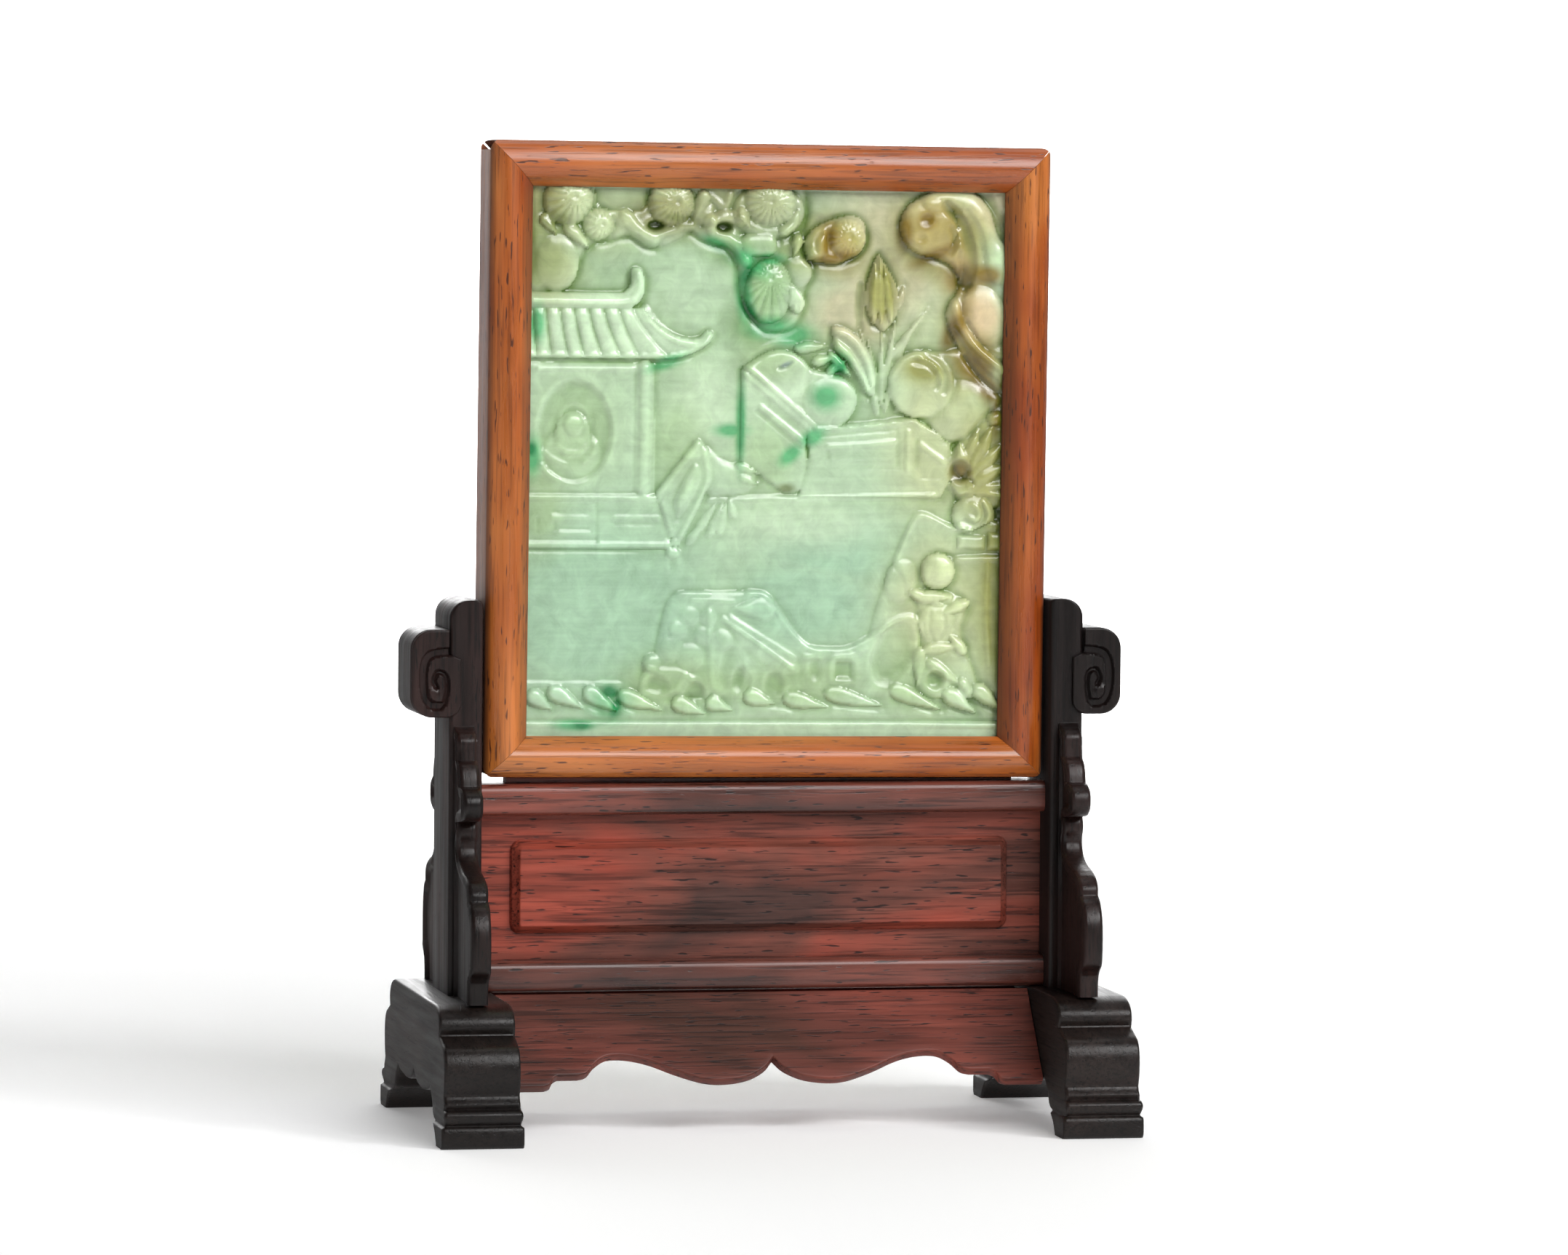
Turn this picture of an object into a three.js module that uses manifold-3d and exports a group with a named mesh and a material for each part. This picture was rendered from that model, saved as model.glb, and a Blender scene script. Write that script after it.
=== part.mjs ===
// Table screen: a jade plaque carved in relief, in a mitred hardwood frame that stands between the
// posts of a dark hardwood stand. Millimetres, +Z up, the carved face looks along -Y.
// The origin is on the standing surface, under the middle of the feet.
import * as THREE from 'three';
import { mergeVertices } from 'three/addons/utils/BufferGeometryUtils.js';
import Module from 'manifold-3d';

const wasm = await Module();
wasm.setup();

// ---------------------------------------------------------------- driving dimensions
const fit = 0.3;                   // clearance where a piece is let into, or leans in, another

const frameWidth = 127.8;
const frameHeight = 141.9;
const frameSeat = 77.7;            // height of the frame's lowest corner above the standing surface
const frameFront = -7.15;          // front arris of the frame's outer edge
const frameBack = 7.75;
const frameLean = 0.4;             // degrees that the loose frame leans in the stand
const sideMoulding = 9.9;          // widths of the frame's members, seen from the front
const topMoulding = 10.2;
const bottomMoulding = 9.1;
const mouldingBulge = 3.2;         // how far the face swells between its two edges
const sightDrop = 2.35;            // how far the inner edge lies behind the outer arris
const lipThickness = 0.9;
const grooveDepth = 2.2;           // the plaque's edge sits this deep in the members
const grooveBack = 2.9;
const backRebate = 0.8;            // the back of the opening is this much wider all round

const tongueHalfWidth = 58;        // strip that beds the frame on the stand's top rail
const tongueHalfDepth = 2;

const carvingDepth = 3.4;          // from the deepest place to the highest crest
const groundPlane = -2;            // y of the deepest place
const groundLevel = 0.22;          // open ground, as a share of the depth,
const rimLevel = 0.45;             // and the plaque's plain edge
const tileColumns = 24;            // grid columns over the roof's tiles, left of tileEnd,
const tileEnd = -28;
const openColumns = 34;            // and right of it
const carvingRows = 52;

const postInner = 64.8;            // half the clear width between the posts
const postWidth = 7.5;
const postHalfDepth = 11;
const postTop = 118.3;
const postShoulder = 4.2;          // radius of the top outer corner

const footInner = 61.3;
const footWidth = 16.9;
const footTop = 30.3;
const padReach = 45;               // half the depth of the foot at its pads
const beadReach = 45.8;            // and over the bead above them

const railHalfDepth = 7;
const railRounding = 2.2;
const topRailBottom = 69.9;
const topRailTop = 76.9;
const bottomRailTop = 37.2;

const boardHalfThickness = 2.3;
const fieldHalfWidth = 57;
const fieldBottom = 43.2;
const fieldTop = 64.2;
const fieldRise = 2.7;             // raised field, above the board around it
const fieldBevel = 1.9;

const apronSplay = 41;             // degrees that the aprons lean out from upright
const apronThickness = 2.6;
const apronTopEdge = -7.5;         // y and z of the front face just under the bottom rail
const apronTop = 29.3;
const apronCusp = 17;              // distances down the slope to the lower edge: the middle point,
const apronTrough = 22.6;          // the troughs beside it,
const apronCrest = 16;             // the crests,
const apronStep = 21.1;            // the first step down
const apronDrop = 24;              // and the ends

const earOuter = 80.9;             // half the width over the scroll ears
const earBottom = 92.3;
const earTop = 111.8;
const earBack = 9;
const earCorner = 4;
const earFront = -12;              // stands this far forward, so that a lobe laps the post's front
const lapWidth = 2.5;
const voluteGroove = 1.1;          // width and depth of the groove that draws the scroll

const spandrelCentre = 69;
const spandrelThickness = 4.5;
const frontSpandrelReach = 36.9;
const backSpandrelReach = 33.2;

// ---------------------------------------------------------------- finishes
const finish = (color, roughness) => new THREE.MeshStandardMaterial({ color, roughness, metalness: 0 });
const polishedJade = () => finish('#bcdcba', 0.18);
const orangeHardwood = () => finish('#a86434', 0.42);
const redBrownHardwood = () => finish('#5a302a', 0.45);
const blackBrownHardwood = () => finish('#2f2826', 0.4);

// ---------------------------------------------------------------- placing and shaping
const screen = new THREE.Group();

function place(name, geometry, material, parent = screen) {
  const mesh = new THREE.Mesh(geometry, material);
  mesh.name = name;
  parent.add(mesh);
  return mesh;
}

const polygon = (points) => new THREE.Shape(points.map(([a, b]) => new THREE.Vector2(a, b)));

// A plate whose outline lies across the stand (x) and up (z), from y = front to y = back.
function crossPlate(outline, front, back, curveSegments = 4) {
  const depth = back - front;
  const plate = new THREE.ExtrudeGeometry(outline, { depth, bevelEnabled: false, curveSegments });
  return plate.rotateX(Math.PI / 2).translate(0, back, 0);
}

// A bar whose section lies front to back (y) and up (z), from x = left to x = right.
function lengthwiseBar(section, left, right, curveSegments = 4) {
  const depth = right - left;
  const bar = new THREE.ExtrudeGeometry(section, { depth, bevelEnabled: false, curveSegments });
  const alongX = new THREE.Matrix4().makeBasis(
    new THREE.Vector3(0, 1, 0), new THREE.Vector3(0, 0, 1), new THREE.Vector3(1, 0, 0));
  return bar.applyMatrix4(alongX).translate(left, 0, 0);
}

function rectangle(x0, x1, z0, z1) {
  return polygon([[x0, z0], [x1, z0], [x1, z1], [x0, z1]]);
}

function roundedRectangle(x0, x1, z0, z1, radius) {
  const quarter = Math.PI / 2;
  const shape = new THREE.Shape();
  shape.moveTo(x0 + radius, z0);
  shape.absarc(x1 - radius, z0 + radius, radius, -quarter, 0);
  shape.absarc(x1 - radius, z1 - radius, radius, 0, quarter);
  shape.absarc(x0 + radius, z1 - radius, radius, quarter, 2 * quarter);
  shape.absarc(x0 + radius, z0 + radius, radius, 2 * quarter, 3 * quarter);
  return shape;
}

// Closes a half outline, drawn from the line of symmetry round to it again, with its mirror image.
function symmetric(half, curveSegments) {
  const points = half.getPoints(curveSegments).map((point) => [point.x, point.y]);
  return polygon([...points, ...points.slice(1, -1).reverse().map(([across, up]) => [-across, up])]);
}

function toSolid(geometry) {
  const bare = geometry.clone();
  bare.deleteAttribute('normal');
  bare.deleteAttribute('uv');
  const merged = mergeVertices(bare, 1e-4);
  return new wasm.Manifold(new wasm.Mesh({
    numProp: 3,
    vertProperties: new Float32Array(merged.attributes.position.array),
    triVerts: new Uint32Array(merged.index.array),
  }));
}

function toGeometry(solid) {
  const { vertProperties, triVerts } = solid.getMesh();
  const geometry = new THREE.BufferGeometry();
  geometry.setAttribute('position', new THREE.BufferAttribute(vertProperties, 3));
  geometry.setIndex(new THREE.BufferAttribute(triVerts, 1));
  return geometry;
}

const join = (first, ...others) => toGeometry(
  others.reduce((sum, geometry) => sum.add(toSolid(geometry)), toSolid(first)));
const cut = (body, ...tools) => toGeometry(
  tools.reduce((rest, geometry) => rest.subtract(toSolid(geometry)), toSolid(body)));

// ---------------------------------------------------------------- frame
// Four mitred members with a rounded face that falls to the sight edge. A lip in front and the
// member's body behind hold the plaque's edge in a groove.
const frame = new THREE.Group();
frame.position.z = frameSeat + frameWidth / 2 * Math.sin(THREE.MathUtils.degToRad(frameLean));
frame.rotation.y = THREE.MathUtils.degToRad(frameLean);
screen.add(frame);

// Section as [distance in from the outer edge, y]: the rounded face first, then the groove.
function memberSection(width) {
  const faceSteps = 8;
  const face = [];
  for (let step = 0; step <= faceSteps; step += 1) {
    const across = step / faceSteps;
    const swell = mouldingBulge * (1 - Math.abs(2 * across ** 0.85 - 1) ** 2.3);
    face.push([across * width, frameFront + sightDrop * across - swell]);
  }
  const lipBack = frameFront + sightDrop + lipThickness;
  return [...face, [width, lipBack], [width - grooveDepth, lipBack], [width - grooveDepth, grooveBack],
    [width - backRebate, grooveBack], [width - backRebate, frameBack], [0, frameBack]];
}

// A member lying along x at z = 0, its outer edge down. Both ends are cut on the line from the
// frame's outer corner to its inner corner, where the neighbours' widths decide the angle.
function member(length, width, leftNeighbour, rightNeighbour) {
  const halfGap = fit / 2;
  const bar = lengthwiseBar(polygon(memberSection(width).map(([inward, y]) => [y, inward])), 0, 1);
  const position = bar.attributes.position;
  for (let index = 0; index < position.count; index += 1) {
    const inward = position.getZ(index);
    const atRight = position.getX(index) > 0.5;
    const mitre = inward * (atRight ? rightNeighbour : leftNeighbour) / width + halfGap;
    position.setX(index, atRight ? length / 2 - mitre : mitre - length / 2);
  }
  return bar;
}

const members = [
  { name: 'frame_bottom', turn: 0, length: frameWidth, width: bottomMoulding,
    ends: [sideMoulding, sideMoulding], at: [0, 0, 0] },
  { name: 'frame_left', turn: 90, length: frameHeight, width: sideMoulding,
    ends: [topMoulding, bottomMoulding], at: [-frameWidth / 2, 0, frameHeight / 2] },
  { name: 'frame_top', turn: 180, length: frameWidth, width: topMoulding,
    ends: [sideMoulding, sideMoulding], at: [0, 0, frameHeight] },
  { name: 'frame_right', turn: 270, length: frameHeight, width: sideMoulding,
    ends: [bottomMoulding, topMoulding], at: [frameWidth / 2, 0, frameHeight / 2] },
];
for (const { name, turn, length, width, ends, at } of members) {
  const mesh = place(name, member(length, width, ...ends), orangeHardwood(), frame);
  mesh.rotation.y = THREE.MathUtils.degToRad(turn);
  mesh.position.set(...at);
}

// ---------------------------------------------------------------- carving of the plaque
// Levels run from 0 on the deepest ground to 1 on the highest crest. Places are in millimetres
// over the sight opening: x from its middle, z from its lower edge.
const { clamp, lerp, smoothstep } = THREE.MathUtils;
const sightHalfWidth = frameWidth / 2 - sideMoulding;
const sightHeight = frameHeight - topMoulding - bottomMoulding;

const within = (value, low, high) => value >= low && value <= high;

// Rounded bump, 1 in the middle and 0 on the rim of its oval.
function dome(x, z, centreX, centreZ, radiusX, radiusZ = radiusX) {
  const spread = ((x - centreX) / radiusX) ** 2 + ((z - centreZ) / radiusZ) ** 2;
  return Math.sqrt(Math.max(0, 1 - spread));
}

// Rounded ridge along a line through a few points, 1 on the line and 0 at the half-width.
function ridge(x, z, points, halfWidth) {
  let nearest = Infinity;
  for (let index = 1; index < points.length; index += 1) {
    const [startX, startZ] = points[index - 1];
    const runX = points[index][0] - startX;
    const runZ = points[index][1] - startZ;
    const along = clamp(((x - startX) * runX + (z - startZ) * runZ) / (runX ** 2 + runZ ** 2), 0, 1);
    nearest = Math.min(nearest, Math.hypot(x - startX - along * runX, z - startZ - along * runZ));
  }
  return Math.sqrt(Math.max(0, 1 - (nearest / halfWidth) ** 2));
}

// Pine and cloud pads under the top edge, with the boughs that carry them.
function pineBoughs(x, z) {
  const pads = [[-45.8, 119.4, 5.7], [-39, 114.3, 4.2], [-48.2, 105.6, 5, 6.6], [-22.4, 119.4, 5.4],
    [0, 119.6, 7, 6], [-2, 110.2, 5, 3.2], [0.2, 99.8, 5.6, 7.4], [6.2, 102, 3, 6],
    [17.9, 111.9, 5], [11.4, 110.6, 3, 4.2]];
  const boughs = [[[-53, 115], [-40, 110.5]], [[-33, 117], [-30, 113], [-25.2, 110.4], [-18, 114]],
    [[-13.6, 116], [-12.4, 112.2], [-6, 108], [-4, 98], [2, 92]]];
  const padLevel = Math.max(...pads.map((pad) => dome(x, z, ...pad)));
  const boughLevel = Math.max(...boughs.map((points) => ridge(x, z, points, 3)));
  return Math.max(padLevel, 0.75 * boughLevel);
}

// Tiled pavilion at the left edge: ridge beam with a horn, tiles down to a curved eave, a post, a
// round window with a seated figure, and a balustrade with a sunk panel.
function pavilion(x, z) {
  const hip = z > 89 ? lerp(-14, -28.4, Math.sqrt(clamp((z - 89) / 6.6, 0, 1))) : -14 - 2.4 * (89 - z);
  const tilePitch = lerp(4, 3.3, (z - 84) / 12);
  const tile = 0.14 * Math.cos(2 * Math.PI * (x + 55.2) / tilePitch);
  const tiles = within(z, 84, 95.6) && x < hip ? 0.6 + tile : 0;
  const beams = Math.max(ridge(x, z, [[-55, 97.3], [-32, 97.3], [-29.3, 100], [-30, 104.5]], 2.2),
    ridge(x, z, [[-55, 84.8], [-26, 84.8], [-13.6, 89]], 1.6),
    ridge(x, z, [[-28, 95], [-22.4, 89.8], [-13, 89.8]], 1.6));
  const walls = within(z, 54, 83) && x < -26 ? 0.45 : 0;
  const trim = Math.max(ridge(x, z, [[-27.6, 83], [-27.6, 54]], 1.5),
    ridge(x, z, [[-55, 53.2], [-25, 53.2]], 1.6), ridge(x, z, [[-55, 42.8], [-22, 42.8]], 1.6));
  const window = dome(x, z, -43.6, 68.2, 8.6, 11.6) > 0.3 ? 0.3 : 0;
  const figure = Math.max(dome(x, z, -44, 70.5, 3.4, 4), 0.8 * dome(x, z, -44, 63.5, 6.4, 6.4));
  const balustrade = x < -24 && within(z, 42, 53) ? 0.42 : 0;
  const sunkPanel = within(x, -50, -39) && within(z, 45, 51) ? 0.12 : 0;
  return Math.max(tiles, 0.85 * beams, 0.68 * trim, walls - window, 0.5 * figure, balustrade - sunkPanel);
}

// Garden wall in the middle that steps back under a ridged coping, rocks behind it, and leaning
// slabs and a rock between it and the pavilion.
function gardenWall(x, z) {
  const cap = lerp(82.6, 69, clamp((x + 5) / 15.5, 0, 1));
  const nearWall = within(x, -5.6, 9.4) && within(z, 57, cap) ? 0.55 : 0;
  const farWall = within(x, 9.4, 41.5) && within(z, 54.5, Math.min(70.6, 70.6 - (x - 34) * 0.6)) ? 0.48 : 0;
  const caps = Math.max(ridge(x, z, [[-4.6, 82.4], [10.4, 69.6], [33.5, 71.2], [42, 66.5]], 1.7),
    ridge(x, z, [[-1.2, 73.8], [9, 65.9]], 1.4), ridge(x, z, [[14.4, 65.2], [29.6, 66.2]], 1.4));
  const rocks = Math.max(dome(x, z, 3.4, 80, 7.4, 7), dome(x, z, 14.2, 75.6, 7, 6.4));
  const slabs = Math.max(ridge(x, z, [[-24, 53.6], [-15.4, 65.4], [-13.4, 58], [-19.6, 45]], 1.9),
    ridge(x, z, [[-20, 51], [-16, 58.6]], 1.6), 0.7 * dome(x, z, -8, 59, 6, 5.6));
  return Math.max(nearWall, farWall, 0.76 * caps, 0.7 * rocks, 0.56 * slabs);
}

// A spear leaf among blades and plantain, round boulders, a gnarled trunk and foliage at the right.
function rightBank(x, z) {
  const blades = [[[26.5, 80], [34.5, 93]], [[26.5, 78], [21.5, 91]], [[26.4, 74], [26.4, 92]],
    [[15.6, 90], [21, 86.4], [24, 79]], [[7, 87.4], [14, 87.4]]];
  const bladeLevel = Math.max(...blades.map((points) => ridge(x, z, points, 1.9)));
  const spear = ridge(x, z, [[26.6, 94], [25.4, 105.5]], 3.4);
  const boulders = Math.max(dome(x, z, 35.4, 79.2, 7.6) - 0.14 * ridge(x, z, [[37, 85.5], [40.6, 79]], 1.6),
    dome(x, z, 44, 73.6, 7.4));
  const trunk = Math.max(dome(x, z, 36.8, 114.6, 7), dome(x, z, 49.8, 94.9, 5, 7.2),
    ridge(x, z, [[37.6, 119.4], [46, 118.6], [51, 110], [53, 102]], 4),
    0.85 * ridge(x, z, [[40, 110], [45.4, 102]], 3),
    0.9 * ridge(x, z, [[43, 98], [44.2, 92], [48, 87.4], [55, 82]], 2.4));
  const foliage = Math.max(dome(x, z, 49.6, 66, 6, 7), dome(x, z, 50, 57.6, 5), dome(x, z, 48, 49.8, 5.4, 5));
  return Math.max(0.6 * bladeLevel, 0.75 * spear, 0.72 * boulders, trunk, 0.72 * foliage);
}

// A child at the lower right before a cliff, and a low shelf of rock with a sweeping ridge and
// round hollows in the lower middle.
function rockyShore(x, z) {
  const child = Math.max(dome(x, z, 39.9, 37.2, 4.1), 0.75 * dome(x, z, 41, 27, 6.2, 6.6),
    0.7 * ridge(x, z, [[36.6, 19.6], [45, 20.4], [39, 14]], 2.4), 0.65 * ridge(x, z, [[46, 14], [49, 8]], 2.2));
  const bank = x > 24 && z < Math.min(50, 20 + 3 * (x - 24)) ? 0.38 : 0;
  const cliff = ridge(x, z, [[27.4, 33], [33, 46], [36, 50], [43, 47], [55, 46.4]], 1.9);
  const shelf = within(x, -27, 36) && z < (x < 3 ? Math.min(32.4, 20 + 2.4 * (x + 25)) : 19.5) ? 0.4 : 0;
  const ridges = Math.max(ridge(x, z, [[-19, 32], [0, 31.6], [8, 21.8], [16, 19.4], [26, 23.2], [34, 27]], 1.9),
    ridge(x, z, [[-8.6, 26.4], [6.8, 15.4]], 1.7), ridge(x, z, [[-26, 15.4], [-17, 13.6]], 1.8),
    ridge(x, z, [[-20, 24], [-14, 27]], 2.4));
  const hollows = [[-24.4, 11.2, 3.4, 2.4], [-15.4, 9.8, 2.8], [-4.8, 12.2, 2.6, 3.4], [2.8, 11.8, 2.8],
    [11.9, 15, 2, 2.8], [18.6, 14.8, 2.7], [29.8, 18.6, 4.2, 7]];
  const hollowed = Math.max(...hollows.map((hollow) => dome(x, z, ...hollow)));
  return Math.max(child, bank, shelf, 0.58 * cliff, 0.62 * ridges) - 0.26 * hollowed;
}

// Pointed wave crests along the bottom, each leaning down to the right, over a plain border.
function waves(x, z) {
  if (z > 12.5) {
    return 0;
  }
  const crestStarts = [-48.4, -40.2, -32, -20, -12, -3.6, 5.6, 16, 30.6, 42, 49];
  const crests = crestStarts.map((start) => ridge(x, z, [[start, 9.6], [start + 6.4, 6]], 2.2));
  return z < 3.6 ? rimLevel : Math.max(0.3, 0.75 * Math.max(...crests));
}

function carvingLevel(x, z) {
  const motifs = [pineBoughs, pavilion, gardenWall, rightBank, rockyShore, waves];
  return clamp(Math.max(groundLevel, ...motifs.map((motif) => motif(x, z))), 0, 1);
}

// ---------------------------------------------------------------- plaque
// One closed solid: a grid of carved levels in front, a plain edge for the frame's groove all
// round it, flat sides and a flat back.
function plaque() {
  const edge = grooveDepth - fit;
  const evenly = (start, end, cells) => Array.from({ length: cells },
    (_, cell) => lerp(start, end, cell / cells));
  const right = sightHalfWidth - fit;
  const top = sightHeight - fit;
  const columns = [-right - edge, ...evenly(-right, tileEnd, tileColumns),
    ...evenly(tileEnd, right, openColumns), right, right + edge];
  const rows = [fit - edge, ...evenly(fit, top, carvingRows), top, top + edge];
  const positions = [];
  rows.forEach((z, row) => columns.forEach((x, column) => {
    const inside = within(row, 2, rows.length - 3) && within(column, 2, columns.length - 3);
    const level = inside ? carvingLevel(x, z) : rimLevel;
    positions.push(x, groundPlane - carvingDepth * level, z + bottomMoulding);
  }));

  const at = (row, column) => row * columns.length + column;
  const faces = [];
  for (let row = 0; row < rows.length - 1; row += 1) {
    for (let column = 0; column < columns.length - 1; column += 1) {
      const corners = [at(row, column), at(row, column + 1), at(row + 1, column + 1), at(row + 1, column)];
      faces.push(corners[0], corners[1], corners[2], corners[0], corners[2], corners[3]);
    }
  }

  const lastRow = rows.length - 1;
  const lastColumn = columns.length - 1;
  const border = [
    ...columns.slice(0, -1).map((_, column) => at(0, column)),
    ...rows.slice(0, -1).map((_, row) => at(row, lastColumn)),
    ...columns.slice(0, -1).map((_, column) => at(lastRow, lastColumn - column)),
    ...rows.slice(0, -1).map((_, row) => at(lastRow - row, 0)),
  ];
  const backPlane = grooveBack - fit;
  const firstBack = positions.length / 3;
  for (const corner of border) {
    positions.push(positions[3 * corner], backPlane, positions[3 * corner + 2]);
  }
  const backMiddle = positions.length / 3;
  positions.push(0, backPlane, frameHeight / 2);
  border.forEach((corner, index) => {
    const next = (index + 1) % border.length;
    faces.push(corner, firstBack + index, firstBack + next, corner, firstBack + next, border[next]);
    faces.push(firstBack + index, backMiddle, firstBack + next);
  });

  const geometry = new THREE.BufferGeometry();
  geometry.setAttribute('position', new THREE.Float32BufferAttribute(positions, 3));
  geometry.setIndex(faces);
  return geometry;
}

place('jade_plaque', plaque(), polishedJade(), frame);

// ---------------------------------------------------------------- posts, ears and rails
// Signs: -1 is the left side (or the front), 1 the right side (or the back).
const sides = [['left', -1], ['right', 1]];

// Pieces are shaped for the right side. The left one is the mirror image, in which every face
// would be inside out, so two corners of each are exchanged.
function toSide(geometry, side) {
  if (side > 0) {
    return geometry;
  }
  const mirrored = toGeometry(toSolid(geometry)).applyMatrix4(new THREE.Matrix4().makeScale(-1, 1, 1));
  const corners = mirrored.index;
  for (let face = 0; face < corners.count; face += 3) {
    const second = corners.getX(face + 1);
    corners.setX(face + 1, corners.getX(face + 2));
    corners.setX(face + 2, second);
  }
  return mirrored;
}

function post(side) {
  const outer = postInner + postWidth;
  const outline = new THREE.Shape();
  outline.moveTo(postInner, footTop);
  outline.lineTo(outer, footTop);
  outline.absarc(outer - postShoulder, postTop - postShoulder, postShoulder, 0, Math.PI / 2);
  outline.absarc(postInner + 1, postTop - 1, 1, Math.PI / 2, Math.PI);
  return toSide(crossPlate(outline, -postHalfDepth, postHalfDepth), side);
}

// The legs of a line of right-angled turns that winds inwards, each a strip of the line's width.
function squareSpiral(left, right, bottom, top, pitch, width) {
  const turns = [[left, bottom], [right, bottom], [right, top], [left + pitch, top],
    [left + pitch, bottom + pitch], [right - pitch, bottom + pitch]];
  const half = width / 2;
  return turns.slice(1).map(([x, z], index) => {
    const [startX, startZ] = turns[index];
    return rectangle(Math.min(startX, x) - half, Math.max(startX, x) + half,
      Math.min(startZ, z) - half, Math.max(startZ, z) + half);
  });
}

// Squared scroll ear on the outer face of each post, its volute drawn by a groove on both faces.
function ear(side) {
  const left = postInner + postWidth;
  const block = crossPlate(roundedRectangle(left - earCorner, earOuter, earBottom, earTop, earCorner),
    earFront, earBack);
  const overPost = crossPlate(rectangle(left - 2 * earCorner, left, earBottom - 1, earTop + 1),
    earFront - 1, earBack + 1);
  const lap = crossPlate(rectangle(left - lapWidth, left + 1, earBottom + 0.2, earBottom + 12.9),
    earFront, -postHalfDepth - fit);
  const legs = squareSpiral(left + 1.8, earOuter - 2, earBottom + 4.6, earTop - 2.4, 2.2, voluteGroove);
  const grooves = legs.flatMap((leg) => [
    crossPlate(leg, earFront - 1, earFront + voluteGroove),
    crossPlate(leg, earBack - voluteGroove, earBack + 1),
  ]);
  return toSide(cut(join(cut(block, overPost), lap), ...grooves), side);
}

for (const [label, side] of sides) {
  place(`post_${label}`, post(side), redBrownHardwood());
  place(`ear_${label}`, ear(side), redBrownHardwood());
}

const rail = (bottom, top) => lengthwiseBar(
  roundedRectangle(-railHalfDepth, railHalfDepth, bottom, top, railRounding), -postInner, postInner);

// The strip on the top rail is planed to the frame's lean, so its clearance is the same all along.
const tongueRise = tongueHalfWidth * Math.sin(THREE.MathUtils.degToRad(frameLean));
const tongueMiddle = frame.position.z - fit;
const tongue = crossPlate(polygon([[-tongueHalfWidth, topRailTop - 1], [tongueHalfWidth, topRailTop - 1],
  [tongueHalfWidth, tongueMiddle - tongueRise], [-tongueHalfWidth, tongueMiddle + tongueRise]]),
-tongueHalfDepth, tongueHalfDepth);
place('rail_top', join(rail(topRailBottom, topRailTop), tongue), redBrownHardwood());
place('rail_bottom', rail(footTop, bottomRailTop), redBrownHardwood());

// ---------------------------------------------------------------- panel
// Ground board between the rails, with a bevelled field raised on both faces.
function panel() {
  const board = crossPlate(rectangle(-postInner, postInner, bottomRailTop, topRailBottom),
    -boardHalfThickness, boardHalfThickness);
  const fieldFace = boardHalfThickness + fieldRise;
  const field = new THREE.ExtrudeGeometry(
    roundedRectangle(-fieldHalfWidth, fieldHalfWidth, fieldBottom, fieldTop, fieldBevel + 0.6),
    { depth: 2 * (fieldFace - fieldBevel), bevelThickness: fieldBevel, bevelSize: fieldBevel,
      bevelOffset: -fieldBevel, bevelSegments: 1, curveSegments: 2 });
  field.rotateX(Math.PI / 2).translate(0, fieldFace - fieldBevel, 0);
  return join(board, field);
}

place('panel', panel(), redBrownHardwood());

// ---------------------------------------------------------------- aprons
// Splayed boards under the bottom rail. Their lower edge is drawn down the slope: a point in the
// middle, a wide trough, a crest, then two steps down to the ends.
function apron() {
  const splay = THREE.MathUtils.degToRad(apronSplay);
  const end = footInner - fit;
  const aboveRail = 4;
  const half = new THREE.Path();
  half.moveTo(0, -apronCusp);
  half.quadraticCurveTo(6, -apronTrough, 13.5, -apronTrough);
  half.bezierCurveTo(24, -apronTrough, 28, -apronCrest, 36.3, -apronCrest);
  half.bezierCurveTo(41, -apronCrest, 40.5, -apronStep, 45, -apronStep);
  half.lineTo(49, -apronStep);
  half.lineTo(52.5, -apronDrop);
  half.lineTo(end, -apronDrop);
  half.lineTo(end, aboveRail);
  half.lineTo(0, aboveRail);
  const board = crossPlate(symmetric(half, 5), 0, apronThickness);
  board.rotateX(-splay).translate(0, apronTopEdge, apronTop);
  const railSpace = crossPlate(rectangle(-end - 1, end + 1, footTop - fit, footTop + 5), -20, 5);
  return cut(board, railSpace);
}

place('apron_front', apron(), redBrownHardwood());
place('apron_back', apron(), redBrownHardwood()).rotation.z = Math.PI;

// ---------------------------------------------------------------- feet
// Shoe feet that run front to back: a rounded shoulder, a groove, a swelling body, a bead over each
// pad, and a pointed arch between the pads.
function foot(side) {
  const half = new THREE.Path();
  half.moveTo(0, footTop);
  half.lineTo(26.5, footTop);
  half.quadraticCurveTo(35.6, footTop, 36.1, 26.4);
  half.lineTo(35.4, 24.2);
  half.quadraticCurveTo(43.8, 22.9, 43.7, 15.5);
  half.lineTo(42.7, 11.2);
  half.lineTo(43.8, 9.6);
  half.lineTo(43.3, 8.6);
  half.lineTo(beadReach, 7.5);
  half.lineTo(44.4, 5.6);
  half.lineTo(padReach, 4.4);
  half.lineTo(padReach, 0.8);
  half.lineTo(44.2, 0);
  half.lineTo(36, 0);
  half.quadraticCurveTo(33, 5.2, 28.5, 5.2);
  half.quadraticCurveTo(25.8, 7.4, 22.3, 11.3);
  half.quadraticCurveTo(19.5, 10, 12.5, 9.7);
  half.quadraticCurveTo(3.6, 9.6, 0, 12.6);
  return toSide(lengthwiseBar(symmetric(half, 3), footInner, footInner + footWidth), side);
}

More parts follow.
